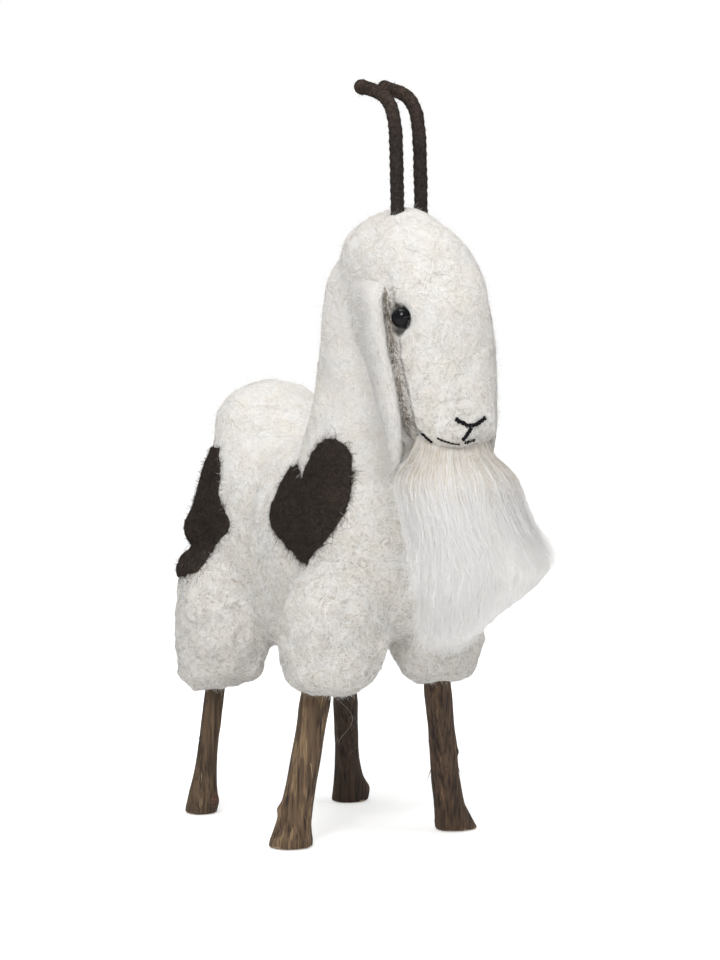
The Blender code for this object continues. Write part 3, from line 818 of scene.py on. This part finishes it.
def make_skin():
    """The white body's surface: one relaxed skin over all the felted parts, before it is parted again."""
    mesh = remeshed("skin", [nodes[name].data for name in (*FELT_STYLE, "torso_core")], SKIN_VOXEL)
    edges = mesh_edges(mesh)
    points = shaped(relax(mesh_points(mesh), edges, SKIN_RELAX))
    set_points(mesh, points)
    points = press_creases(points + mesh_normals(mesh) * SKIN_SWELL, mesh_normals(mesh))
    set_points(mesh, points)
    trees = [tree_of(mesh_points(nodes[name].data), quads_of(nodes[name].data)) for name in FELT_STYLE]
    label = np.empty(len(points), dtype=np.int64)
    for i, point in enumerate(points):
        place = Vector(point)
        label[i] = int(np.argmin([tree.find_nearest(place)[3] for tree in trees]))
    style = np.array(list(FELT_STYLE.values()))[label]
    style = relax(style, edges, STYLE_RELAX)
    lumps = bumps(points, 8.0 * MM, 1) + 0.6 * bumps(points, 4.0 * MM, 2)
    tufts = bumps(points, 2.2 * MM, 3) + 0.8 * bumps(points, 1.2 * MM, 4) + 0.45 * bumps(points, 0.7 * MM, 5)
    offset = (style[:, 0] * lumps + style[:, 1] * tufts) * MM
    points = points + mesh_normals(mesh) * offset[:, None]
    set_points(mesh, points)
    return mesh, label, style[:, 2]


def part_skin(mesh, label, material, face_material):
    """Part the skin along the felted parts, keeping its smooth shading over the joins."""
    points, normals, quads = mesh_points(mesh), mesh_normals(mesh), quads_of(mesh)
    face_label = label[quads[:, 0]]
    for number, name in enumerate(FELT_STYLE):
        own = quads[face_label == number]
        used, renamed = np.unique(own, return_inverse=True)
        piece_mesh = build_mesh(f"felt_{name}", points[used], renamed.reshape(own.shape))
        piece = add_piece(f"felt_{name}", piece_mesh, [face_material if name == "head" else material])
        piece_mesh.normals_split_custom_set_from_vertices(normals[used].tolist())
        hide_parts(name)
        fix_on_goat([piece])
    return points, quads


def clear_of(trees, spot, margin):
    """Whether a spot keeps a margin from every one of some surfaces."""
    return not any(tree.find_nearest(Vector(spot), margin)[0] for tree in trees)


def body_fibres(points, quads, tree, density, patch_trees, tones):
    """Fibres felted flat over the body, and loose ends that soften its outline; none under the patches."""
    middles = points[quads].mean(axis=1)
    open_face = np.array([float(clear_of(patch_trees, middle, PATCH_MARGIN)) for middle in middles])
    face_density = density[quads[:, 0]] * open_face
    across = points[quads[:, 2:]] - points[quads[:, :2]]
    area = 0.5 * np.linalg.norm(np.cross(across[:, 0], across[:, 1]), axis=1) / MM ** 2
    count = int((area * face_density).sum()) // 2
    for number in (1, 2):
        spots, facing, pick = scatter(points, quads, count, face_density)
        laid = laid_fibres(f"body_laid_fibres_{number}", tree, spots, facing, (3.0, 7.0),
                           (0.05, 0.40 * face_density[pick]), 160.0, 0.085, tones, (5, 4, 2.0, 1.5))
        fix_on_goat([laid])
    for number in (1, 2):
        spots, facing, _ = scatter(points, quads, BODY_FUZZ, open_face)
        fuzz = fuzz_fibres(f"body_fuzz_{number}", spots, facing, (0.5, 1.6, 2.0), 1.6, 0.035, tones,
                           (5, 4, 1, 0.4))
        fix_on_goat([fuzz])


# ---------------------------------------------------------------- ears

def make_ear(side, skin_tree, material, tones):
    """Lop ear that grows out of the head at its root and hangs from there."""
    node = f"ear_{side}"
    mesh, edges, points = soft_skin(f"felt_{node}", node, EAR_VOXEL, 8)
    top = points[:, 2].max()
    place, normal = nearest(skin_tree, points)
    height = np.sum((points - place) * normal, axis=1)
    merging = ease(top - EAR_MERGE, top - 0.5 * MM, points[:, 2])
    cad_points, cad_edges = mesh_points(nodes[node].data), mesh_edges(nodes[node].data)
    levels = np.linspace(cad_points[:, 2].min() + 0.5 * MM, top - 1.0 * MM, 40)
    cuts = [slice_solid(cad_points, cad_edges, z)[:, 1] for z in levels]
    front, back = (np.interp(points[:, 2], levels, [edge(cut) for cut in cuts]) for edge in (np.min, np.max))
    behind = ease(0.05, 1.12, (points[:, 1] - front) / (back - front))
    rise = np.percentile(height, 90)
    sunk = (height - rise * merging) * (1.0 - 0.93 * behind) - 0.3 * MM * merging
    move = relax(normal * (sunk - height)[:, None], edges, EAR_EVEN)
    points = points + move
    lumps = 0.30 * bumps(points, 7.0 * MM, 21) + 0.12 * bumps(points, 1.6 * MM, 22)
    points = points + mesh_normals(mesh) * (lumps * (1.0 - merging) * MM)[:, None]
    set_points(mesh, points)
    piece = add_piece(f"felt_{node}", mesh, [material])
    quads = quads_of(mesh)
    tree = tree_of(points, quads)
    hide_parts(node)
    spots, facing, _ = scatter(points, quads, EAR_FIBRES)
    laid = laid_fibres(f"{node}_laid_fibres", tree, spots, facing, (3.0, 6.0), (0.05, 0.25), 120.0, 0.08,
                       tones, (5, 4, 1.0, 0.6))
    spots, facing, _ = scatter(points, quads, EAR_FIBRES)
    fuzz = fuzz_fibres(f"{node}_fuzz", spots, facing, (0.4, 1.4, 2.0), 1.6, 0.035, tones, (5, 4, 1, 0.4))
    for part in (piece, laid, fuzz):
        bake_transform(part)


def make_tail(material, tones):
    """Short tuft of a tail."""
    mesh, _, points = soft_skin("felt_tail", "tail", EAR_VOXEL, 6)
    points = points + mesh_normals(mesh) * ((0.4 * bumps(points, 3.0 * MM, 25)) * MM)[:, None]
    set_points(mesh, points)
    piece = add_piece("felt_tail", mesh, [material])
    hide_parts("tail")
    spots, facing, _ = scatter(points, quads_of(mesh), TAIL_FIBRES)
    fuzz = fuzz_fibres("tail_fibres", spots, facing + (0.0, 0.3, -1.2), (1.0, 3.5), 0.9, 0.06, tones,
                       (5, 4, 1.5, 0.6), 6)
    fix_on_goat([piece, fuzz])


# ---------------------------------------------------------------- beard

def beard_sections():
    """Middle and half size of the beard at even heights, from its root down to its widest part."""
    mesh = nodes["beard"].data
    points, edges = mesh_points(mesh), mesh_edges(mesh)
    top = points[:, 2].max()
    heights = np.linspace(top - 1.0 * MM, points[:, 2].min() + 16.0 * MM, 24)
    cuts = [slice_solid(points, edges, z) for z in heights]
    low, high = (np.array([edge(cut, axis=0) for cut in cuts]) for edge in (np.min, np.max))
    return heights, 0.5 * (low + high)[:, :2], 0.5 * (high - low)[:, :2]


def make_beard(material, tones):
    """Combed lock of long wavy fibres round a soft heart of the same wool."""
    heights, middle, half = beard_sections()
    mesh, _, points = soft_skin("beard_heart", "beard", BEARD_VOXEL, 12)
    points = points - mesh_normals(mesh) * 1.0 * MM
    comb = bumps(points * (1.0, 1.0, 0.14), 1.3 * MM, 31)
    set_points(mesh, points + mesh_normals(mesh) * (comb * 0.45 * MM)[:, None])
    heart = add_piece("beard_heart", mesh, [material])
    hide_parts("beard")
    outer = tree_of(mesh_points(nodes["beard"].data), quads_of(nodes["beard"].data))
    pieces = [heart]
    for batch in range(BEARD_BATCHES):
        name = f"beard_strands_{batch + 1}"
        strands, paths, facing = beard_strands(name, outer, heights, middle, half, tones)
        pieces.append(strands)
    pieces.append(beard_fluff(paths, facing, tones))
    for piece in pieces:
        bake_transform(piece)


def beard_strands(name, outer, heights, middle, half, tones):
    """One batch of strands. Each runs from its own place in the root to its own place in the fan."""
    count, stations = BEARD_STRANDS, 13
    angle = rng.random(count) * math.tau
    reach = np.sqrt(rng.random(count) * 0.8 + 0.2)
    inside = np.stack((np.cos(angle), np.sin(angle)), axis=1) * reach[:, None]
    drift = 0.13 * rng.normal(size=(count, 2))
    rim = middle[-1] + (inside + drift).clip(-1.0, 1.0) * half[-1]
    ends = np.empty(count)
    for i, (x, y) in enumerate(rim):
        found = outer.ray_cast(Vector((x, y, -1.0 * MM)), Vector((0.0, 0.0, 1.0)))[0]
        ends[i] = found.z if found else heights[-1] - 2.0 * MM
    ends += rng.gamma(1.6, 1.8 * MM, count) - 1.6 * MM
    across = 0.866 * rim[:, 0] - 0.5 * rim[:, 1]
    ends += BEARD_LIFT * ease(28.0 * MM, 35.0 * MM, across)
    root = heights[0] + BEARD_SUNK
    along = np.linspace(0.0, 1.0, stations)
    z = root + (ends - root)[:, None] * along[None, :]
    level = np.clip(z, heights[-1], heights[0])
    below = (heights[-1] - z).clip(0.0) / MM
    paths = np.empty((count, stations, 3))
    paths[..., 2] = z
    for axis in range(2):
        centre = np.interp(level, heights[::-1], middle[::-1, axis])
        width = np.interp(level, heights[::-1], half[::-1, axis])
        width = width * (1.0 + 0.45 * np.exp(-((z - heights[0] + 3.0 * MM) / (7.0 * MM)) ** 2))
        place = (inside[:, axis, None] + drift[:, axis, None] * along ** 1.5) * width
        paths[..., axis] = centre + place * (1.0 + 0.004 * below)
    loose = ((root - z) / (root - heights[-1])).clip(0.0, 1.5)
    flat = paths.reshape(-1, 3) * (1.0, 1.0, 0.6)
    own = np.repeat(rng.normal(size=(count, 3)), stations, axis=0) * 4.0 * MM
    wave = np.empty_like(paths)
    for axis in range(3):
        shared = bumps(flat, 6.0 * MM, 34 + axis)
        single = bumps(flat + own, 2.4 * MM, 37 + axis) + 0.5 * bumps(flat - own, 1.2 * MM, 40 + axis)
        wave[..., axis] = (0.8 * shared + 1.5 * single).reshape(count, stations)
    paths += wave * loose[..., None] * MM * (1.0, 0.9, 0.4)
    facing = np.column_stack((inside, np.zeros(count))) + 0.35 * rng.normal(size=(count, 3))
    width = tapered(count, stations, 0.045 * MM)
    tone = np.repeat(pick_tones(count, (8, 3, 0.6))[:, None], stations - 1, axis=1)
    warm = z[:, 1:] > heights[0] - (3.0 + 9.0 * rng.random((count, 1))) * MM
    tone[warm] = np.repeat(rng.choice((1, 2, 4), (count, 1)), stations - 1, axis=1)[warm]
    return ribbons(name, paths, width, facing, tones, tone), paths, facing


def beard_fluff(paths, facing, tones):
    """Short curly fibres that cross the strands, so that the lock looks like teased wool."""
    count, stations = BEARD_FLUFF, 9
    strand = rng.integers(0, len(paths), count)
    station = rng.integers(2, paths.shape[1] - 1, count)
    spot = paths[strand, station]
    heading = unit(unit(paths[strand, station + 1] - spot) + 1.1 * unit(rng.normal(size=(count, 3))))
    bend = unit(rng.normal(size=(count, 3)))
    step = (0.35 + 0.55 * rng.random((count, 1))) * MM
    fibre = np.empty((count, stations, 3))
    for i in range(stations):
        fibre[:, i] = spot
        heading = unit(heading + 0.45 * bend + 0.35 * rng.normal(size=(count, 3)))
        spot = spot + heading * step
    return ribbons("beard_fluff", fibre, tapered(count, stations, 0.04 * MM),
                   facing[strand] + 0.5 * rng.normal(size=(count, 3)), tones, pick_tones(count, (8, 3, 0.8)))


# ---------------------------------------------------------------- dark patches

def make_patch(node, skin_mesh, material, tones):
    """Dark wool needled into the white: a thin layer that follows the skin, with fibres across its edge."""
    skin_points, skin_quads = mesh_points(skin_mesh), quads_of(skin_mesh)
    skin_tree = tree_of(skin_points, skin_quads)
    mesh, edges, points = soft_skin(f"felt_{node}", node, PATCH_VOXEL, 4)
    upper = 0.35 + 0.65 * ease(points[:, 2].min(), np.median(points[:, 2]), points[:, 2])
    rear = ease(np.median(points[:, 1]), points[:, 1].max(), points[:, 1])
    points[:, 1] += PATCH_STRETCH[node] * upper * rear
    if node == "heart_patch":
        gap = np.linalg.norm(points / MM - HEART_NOTCH[0], axis=1) / HEART_NOTCH[1]
        points[:, 2] -= HEART_NOTCH[2] * MM * np.exp(-gap ** 2)
    place, normal = nearest(skin_tree, points)
    set_points(mesh, points)
    outer = ease(-0.4, 0.5, np.sum(mesh_normals(mesh) * normal, axis=1))
    rise = (PATCH_RISE + 0.14 * bumps(place, 1.3 * MM, 42)) * outer - PATCH_RISE * (1.0 - outer)
    points = place + normal * (rise * MM)[:, None]
    points = relax(points, edges, 1)
    set_points(mesh, points)
    piece = add_piece(f"felt_{node}", mesh, [material])
    quads = quads_of(mesh)
    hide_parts(node)
    joined = tree_of(np.vstack((skin_points, points)), np.vstack((skin_quads, quads + len(skin_points))))
    outside = outer[quads[:, 0]] > 0.5
    spots, facing, _ = scatter(points, quads[outside], PATCH_FIBRES)
    laid = laid_fibres(f"{node}_laid_fibres", joined, spots, facing, (1.6, 3.4, 2.0), (0.05, 0.35), 220.0,
                       0.075, tones, (5, 3, 2))
    spots, facing, _ = scatter(points, quads[outside], PATCH_FIBRES)
    fuzz = fuzz_fibres(f"{node}_fuzz", spots, facing, (0.4, PATCH_FUZZ[node], 2.0), 2.2, 0.035, tones,
                       (4, 3, 2), 5)
    rim = (outer[quads[:, 0]] > 0.15) & (outer[quads[:, 0]] < 0.75)
    spots, facing, _ = scatter(points, quads[rim], PATCH_FIBRES // 3)
    _, skin_facing = nearest(skin_tree, spots)
    outward = unit(facing - skin_facing * np.sum(facing * skin_facing, axis=1, keepdims=True)
                   + 1.4 * any_tangent(skin_facing))
    crossing = laid_fibres(f"{node}_edge_fibres", joined, spots, skin_facing, (0.5, 1.9, 3.0), (0.05, 0.45),
                           260.0, 0.06, tones, (5, 2, 3), 5, outward)
    fix_on_goat([piece, laid, fuzz, crossing])
    return tree_of(points, quads)


# ---------------------------------------------------------------- horns

def make_horn(side, material, tones):
    """Dark wool wound round bent wire, with slight ridges where the turns meet and a rounded tip."""
    node = f"horn_wrap_{side}"
    mesh = nodes[node].data
    base = mesh_points(mesh)
    base = base[base[:, 2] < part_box(node)[0].z + 0.3 * MM].mean(axis=0)
    line = walk_through(mesh, base + (0.0, 0.0, 0.6 * MM), (0.0, 0.0, 1.0), 0.4 * MM, 4.0 * MM)
    into_head = line[0] - (0.0, 0.0, 1.0) * np.linspace(HORN_SUNK, 0.5 * MM, 8)[:, None]
    line, run = resampled(np.vstack((into_head, line)), 0.18 * MM, 12)
    turn = np.linspace(0.0, math.tau, HORN_SIDES, endpoint=False)
    twist = run[:, None] / HORN_PITCH * math.tau + turn[None, :]
    flat = np.stack(np.broadcast_arrays(run[:, None], np.cos(turn)[None, :] * 1.5 * MM,
                                        np.sin(turn)[None, :] * 1.5 * MM), axis=-1).reshape(-1, 3)
    lumps = bumps(flat, 2.2 * MM, 51 + len(side)).reshape(twist.shape)
    fine = bumps(flat * (0.6, 1.0, 1.0), 0.7 * MM, 53).reshape(twist.shape)
    radius = HORN_RADIUS * (1.0 + 0.045 * np.cos(twist) + 0.06 * lumps + 0.03 * fine)
    left = (run[-1] - run)[:, None]
    cap = np.sqrt(np.clip(1.0 - (1.0 - left / HORN_RADIUS).clip(0.0) ** 2, 0.002, 1.0))
    tip_ball = 1.0 + 0.14 * np.exp(-((left - 1.6 * MM) / (1.4 * MM)) ** 2)
    tube = skin_tube(f"wound_{node}", line, radius * cap * tip_ball, HORN_SIDES)
    piece = add_piece(f"wound_{node}", tube, [material])
    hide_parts(node)
    points, quads = mesh_points(tube), quads_of_sides(tube)
    tree = tree_of(points, quads)
    spots, facing, _ = scatter(points, quads, HORN_FIBRES)
    laid = laid_fibres(f"{node}_laid_fibres", tree, spots, facing, (1.5, 2.5), (0.04, 0.16), 60.0, 0.06,
                       tones, (5, 2.5, 3))
    spots, facing, _ = scatter(points, quads, HORN_FIBRES // 2)
    fuzz = fuzz_fibres(f"{node}_fuzz", spots, facing, (0.2, 1.1, 3.0), 2.0, 0.03, tones, (4, 4, 1))
    fix_on_goat([piece, laid, fuzz])


def quads_of_sides(mesh):
    """Faces with four corners only, leaving out a tube's end caps."""
    return np.array([tuple(p.vertices) for p in mesh.polygons if len(p.vertices) == 4])


# ---------------------------------------------------------------- twigs

def make_twig(node, number, materials):
    """Twig with ribbed bark, the knot of a cut side shoot, and a flared foot with a chipped pale rim."""
    mesh = nodes[node].data
    points, edges = mesh_points(mesh), mesh_edges(mesh)
    low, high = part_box(node)
    knot_turn, knot_height, knot_size, red_heart = TWIG_KNOTS[node]
    seed = 60 + 7 * number
    turn = np.linspace(-math.pi, math.pi, TWIG_SIDES, endpoint=False)
    ways = np.column_stack((np.cos(turn), np.sin(turn), np.zeros(TWIG_SIDES)))
    foot = np.array((0.0, 0.12, 0.3, 0.55)) * MM
    heights = np.concatenate((foot, np.arange(0.85 * MM, high.z - 0.2 * MM, 0.35 * MM)))
    rings = np.empty((len(heights), TWIG_SIDES, 3))
    knot = np.empty((len(heights), TWIG_SIDES))
    for i, z in enumerate(heights):
        cut = slice_solid(points, edges, min(max(z, low.z + 0.05 * MM), high.z - 0.3 * MM))
        centre = 0.5 * (cut.min(axis=0) + cut.max(axis=0))
        angle = np.arctan2(cut[:, 1] - centre[1], cut[:, 0] - centre[0])
        order = np.argsort(angle)
        reach = np.linalg.norm(cut[order, :2] - centre[:2], axis=1)
        radius = np.interp(turn, angle[order], reach, period=math.tau)
        for _ in range(3):
            radius = 0.5 * radius + 0.25 * (np.roll(radius, 1) + np.roll(radius, -1))
        around = ways * 4.0 * MM
        around[:, 2] = z
        ribs = bumps(around * (1.0, 1.0, 0.10), 1.3 * MM, seed)
        ribs = ribs + 0.6 * bumps(around * (1.0, 1.0, 0.14), 0.6 * MM, seed + 1)
        lumps = bumps(around * (1.0, 1.0, 0.8), 3.0 * MM, seed + 2)
        edge = 0.35 * MM * (1.0 - z / foot[-1]) ** 2 if z < foot[-1] else 0.0
        chip = (0.5 + 0.5 * bumps(around * (1.0, 1.0, 0.0), 1.5 * MM, seed + 3)) * edge
        radius = radius + (0.13 * ribs + 0.10 * lumps) * MM - edge - chip
        off = np.abs((turn - knot_turn + math.pi) % math.tau - math.pi) * radius
        knot[i] = np.exp(-(off ** 2 + (z - knot_height) ** 2) / knot_size ** 2)
        radius = radius + 0.5 * knot_size * knot[i]
        rings[i] = centre + ways * radius[:, None]
        rings[i, :, 2] = z
    tube = close_rings(f"bark_{node}", rings.reshape(-1, 3), len(heights), TWIG_SIDES)
    piece = add_piece(f"bark_{node}", tube, materials)
    rim = 0.30 + 0.25 * bumps(np.array([list(polygon.center) for polygon in tube.polygons]), 2.5 * MM, 91)
    knotted = knot.ravel()[[polygon.vertices[0] for polygon in tube.polygons]] > 0.35
    for polygon, top, inside in zip(tube.polygons, rim, knotted):
        polygon.material_index = 1 if polygon.center.z < top * MM else 2 if inside and red_heart else 0
    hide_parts(node)
    fix_on_goat([piece])
    return rings


def make_splinters(all_rings, tones):
    """Short splinters that stand off the twigs."""
    starts, ways = [], []
    for rings in all_rings:
        for _ in range(3):
            level, corner = rng.integers(4, len(rings) // 2), rng.integers(0, rings.shape[1])
            middle = rings[level].mean(axis=0)
            starts.append(rings[level, corner])
            ways.append(unit(rings[level, corner] - middle) * 0.35 + (0.0, 0.0, -1.0))
    starts, ways = np.array(starts), unit(np.array(ways))
    size = (1.5 + 2.0 * rng.random((len(starts), 1, 1))) * MM
    paths = starts[:, None, :] + ways[:, None, :] * size * np.linspace(-0.4, 1.0, 5)[None, :, None]
    width = 0.30 * MM * np.array((1.0, 1.0, 0.75, 0.45, 0.1))[None, :] * np.ones((len(starts), 1))
    piece = ribbons("splinters", paths, width, rng.normal(size=(len(starts), 3)), tones,
                    pick_tones(len(starts), (1, 1, 1)))
    fix_on_goat([piece])


# ---------------------------------------------------------------- eyes and thread

def make_bead(side, material):
    """Glass bead eye, turned from its own profile."""
    low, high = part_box(f"eye_bead_{side}")
    middle, size = 0.5 * (low + high), high - low
    middle.x -= BEAD_SUNK[side]
    bm = bmesh.new()
    bmesh.ops.create_uvsphere(bm, u_segments=48, v_segments=32, radius=0.5)
    for vertex in bm.verts:
        pole = 1.0 - 0.10 * math.exp(-((vertex.co.xy.length / 0.09) ** 2))
        along, across, up = vertex.co.z * pole, vertex.co.x, vertex.co.y
        vertex.co = Vector((along * size.x, across * size.y, up * size.z)) + middle
    name = f"glass_bead_{side}"
    piece = add_piece(name, finished(bm, name), [material])
    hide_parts(f"eye_bead_{side}")
    fix_on_goat([piece])


def make_stitch(node, thickness, reach, material, skin_tree):
    """Two-ply thread laid on the wool along a stitch, its ends run on to reach the next stitch."""
    line = sliced_line(nodes[node].data, 30)
    line = relax_line(line, THREAD_EASE)
    before, after = unit(line[0] - line[3]), unit(line[-1] - line[-4])
    line = np.vstack((line[0] + before * reach, line, line[-1] + after * reach))
    line, run = resampled(line, 0.06 * MM, 3)
    radius = THREAD_RADIUS * thickness
    spots, facing = nearest(skin_tree, line)
    line = relax_line(spots + facing * 0.35 * radius, 12)
    across, up = frames_along(line)
    joined = bmesh.new()
    for ply in range(2):
        turn = run / THREAD_PITCH * math.tau + math.pi * ply
        route = line + (across * np.cos(turn)[:, None] + up * np.sin(turn)[:, None]) * radius * 0.5
        ends = np.minimum(run, run[-1] - run)
        taper = np.sqrt(np.clip(ends / (0.25 * MM), 0.05, 1.0))
        part = skin_tube("ply", route, np.repeat((radius * 0.66 * taper)[:, None], 10, axis=1), 10)
        joined.from_mesh(part)
        bpy.data.meshes.remove(part)
    name = f"thread_{node}"
    piece = add_piece(name, finished(joined, name), [material])
    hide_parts(node)
    fix_on_goat([piece])


# ---------------------------------------------------------------- loose fibres

def crease_shade_fibres(tree, tones):
    """Dark fibres packed into the crease between each ear and the cheek, painted shade."""
    starts = []
    for side, sign in SIDES.items():
        line = ear_front(side)[8:48]
        pick = rng.integers(0, len(line) - 1, CREASE_SHADE_FIBRES)
        starts.append(line[pick] + (line[pick + 1] - line[pick]) * rng.random((CREASE_SHADE_FIBRES, 1))
                      - (sign * 1.5 * MM, 0.0, 0.0) + rng.normal(0.0, 0.5 * MM, (CREASE_SHADE_FIBRES, 3)))
    place, normal = nearest(tree, np.vstack(starts))
    down = np.array((0.0, -0.15, -1.0)) + 0.35 * rng.normal(size=place.shape)
    heading = unit(down - normal * np.sum(down * normal, axis=1, keepdims=True))
    piece = laid_fibres("crease_shade_fibres", tree, place, normal, (1.5, 4.0), (0.05, 0.25), 60.0, 0.06, tones,
                        (1.6, 2.0), 6, heading)
    fix_on_goat([piece])


def make_strays(points, quads, tree, patch_trees, tones):
    """A few very long fibres that arch over the white wool."""
    spots, facing, _ = scatter(points, quads, STRAYS)
    length, lift = spread(STRAYS, 9.0, 20.0), spread(STRAYS, 0.5, 1.5)
    paths = laid_paths(tree, spots, facing, length, 70.0, lift, 24)
    clear = [all(clear_of(patch_trees, spot, STRAY_MARGIN) for spot in path) for path in paths]
    paths, facing = paths[clear], facing[clear]
    count = len(paths)
    piece = ribbons("stray_fibres", paths, tapered(count, 24, 0.05 * MM), facing, tones,
                    pick_tones(count, (2, 4, 2, 2)))
    fix_on_goat([piece])


def hanging_tangle(leg_rings, tones):
    """Loose fibres that have caught on the far hind leg."""
    count, stations = 9, 60
    s = np.linspace(0.0, 1.0, stations)
    middle = leg_rings.mean(axis=1)
    paths = np.empty((count, stations, 3))
    for i in range(count):
        top = middle[-1, 2] - (6.0 + 12.0 * rng.random()) * MM
        z = top - s * (4.0 + 20.0 * rng.random()) * MM + 1.6 * MM * np.sin(s * 9.0 + rng.random() * math.tau)
        centre = np.stack([np.interp(z, middle[:, 2], middle[:, axis]) for axis in range(3)], axis=1)
        turn = rng.random() * math.tau + s * rng.normal(0.0, 2.2) + 0.5 * np.sin(s * 11.0)
        reach = (3.9 + 1.8 * np.sin(s * math.pi * (1.0 + 2.0 * rng.random())) ** 2) * MM
        paths[i] = centre + np.column_stack((np.cos(turn) * reach, np.sin(turn) * reach, np.zeros(stations)))
        paths[i, :, 2] = z
    piece = ribbons("hanging_fibres", paths, tapered(count, stations, 0.05 * MM), rng.normal(size=(count, 3)),
                    tones, pick_tones(count, (1, 3, 2, 2)))
    fix_on_goat([piece])


# ---------------------------------------------------------------- studio

def build_camera():
    """Camera at the side and height the goat is looked at from."""
    data = bpy.data.cameras.new("camera")
    data.lens = LENS
    data.sensor_width = 36.0
    camera = link("camera", data)
    back = Vector((math.sin(TURN) * math.cos(TILT), -math.cos(TURN) * math.cos(TILT), math.sin(TILT)))
    camera.location = TARGET + back * DISTANCE
    camera.rotation_euler = (-back).to_track_quat("-Z", "Y").to_euler()
    bpy.context.scene.camera = camera


def area_light(name, place, size, power):
    """Softbox aimed at the goat."""
    data = bpy.data.lights.new(name, "AREA")
    data.shape = "SQUARE"
    data.size = size
    data.energy = power
    light = link(name, data)
    light.location = place
    light.rotation_euler = (TARGET - Vector(place)).to_track_quat("-Z", "Y").to_euler()


def build_studio():
    """White floor, white surroundings and soft light from above the camera's left."""
    scene = bpy.context.scene
    scene.view_settings.view_transform = "Standard"
    scene.view_settings.look = "None"
    world = bpy.data.worlds.new("studio")
    world.use_nodes = True
    tree = world.node_tree
    seen = tree.nodes.new("ShaderNodeLightPath").outputs["Is Camera Ray"]
    tree.nodes["Background"].inputs["Color"].default_value = (1.0, 1.0, 1.0, 1.0)
    tree.links.new(map_range(tree, seen, 0.0, 1.0, AMBIENT, 1.0), tree.nodes["Background"].inputs["Strength"])
    scene.world = world
    bpy.ops.mesh.primitive_plane_add(size=4.0, location=(0.0, 0.0, -0.0002))
    floor = bpy.context.object
    floor.name = "floor"
    paper = plain_material("white_paper", (0.92, 0.92, 0.92), 0.9)
    tree = paper.node_tree
    shader = tree.nodes["Principled BSDF"]
    shader.inputs["Emission Color"].default_value = (1.0, 1.0, 1.0, 1.0)
    away = tree.nodes.new("ShaderNodeVectorMath")
    away.operation = "LENGTH"
    tree.links.new(tree.nodes.new("ShaderNodeTexCoord").outputs["Object"], away.inputs[0])
    glow = map_range(tree, away.outputs["Value"], 0.08, 0.45, FLOOR_GLOW, 1.1)
    seen = tree.nodes.new("ShaderNodeLightPath").outputs["Is Camera Ray"]
    lit = tree.nodes.new("ShaderNodeMath")
    lit.operation = "MULTIPLY"
    tree.links.new(glow, lit.inputs[0])
    tree.links.new(seen, lit.inputs[1])
    tree.links.new(lit.outputs["Value"], shader.inputs["Emission Strength"])
    floor.data.materials.append(paper)
    for light in LIGHTS:
        area_light(*light)


# ---------------------------------------------------------------- build

build_camera()
build_studio()

# The two heights bound the painted pit shade, which grows from the first down to the second.
white_felt = felt_material("white_felt", 0.095, 0.070)
face_felt = felt_material("face_felt", 0.150, 0.095)
ear_felt = felt_material("ear_felt", 0.120, 0.040)
beard_felt = combed_material()
barks = [bark_material(f"bark_{name}", *look) for name, look in BARK_LOOKS_WITH_SHADE.items()]
looks = {name: noise_material(name, *look) for name, look in NOISE_LOOKS.items()}
tones = {kind: [plain_material(f"{kind}_{shade}", colour, *FIBRE_SURFACE.get(kind, ()))
                for shade, colour in shades.items()]
         for kind, shades in FIBRE_TONES.items()}

skin_mesh, skin_label, skin_density = make_skin()
skin_points, skin_quads = part_skin(skin_mesh, skin_label, white_felt, face_felt)
skin_tree = tree_of(skin_points, skin_quads)
patch_trees = [make_patch(patch, skin_mesh, looks["dark_felt"], tones["dark"]) for patch in PATCH_STRETCH]
body_fibres(skin_points, skin_quads, skin_tree, skin_density, patch_trees, tones["wool"])
make_strays(skin_points, skin_quads, skin_tree, patch_trees, tones["wool"])
crease_shade_fibres(skin_tree, tones["crease"])

make_beard(beard_felt, tones["beard"])
for side in SIDES:
    make_ear(side, skin_tree, ear_felt, tones["wool"])
    make_horn(side, horn_material(), tones["dark"])
    make_bead(side, looks["black_glass"])
    paint(f"horn_wire_{side}", looks["craft_wire"])
    paint(f"eye_shank_{side}", looks["craft_wire"])
twig_rings = [make_twig(leg, number, [barks[number], looks["sawn_wood"], looks["knot_wood"]])
              for number, leg in enumerate(TWIG_KNOTS)]
make_splinters(twig_rings, tones["splinter"])
hanging_tangle(twig_rings[3], tones["wool"])
make_tail(white_felt, tones["wool"])
for stitch, (thickness, reach) in STITCHES.items():
    make_stitch(stitch, thickness, reach, looks["black_thread"], skin_tree)
paint("torso_core", white_felt)
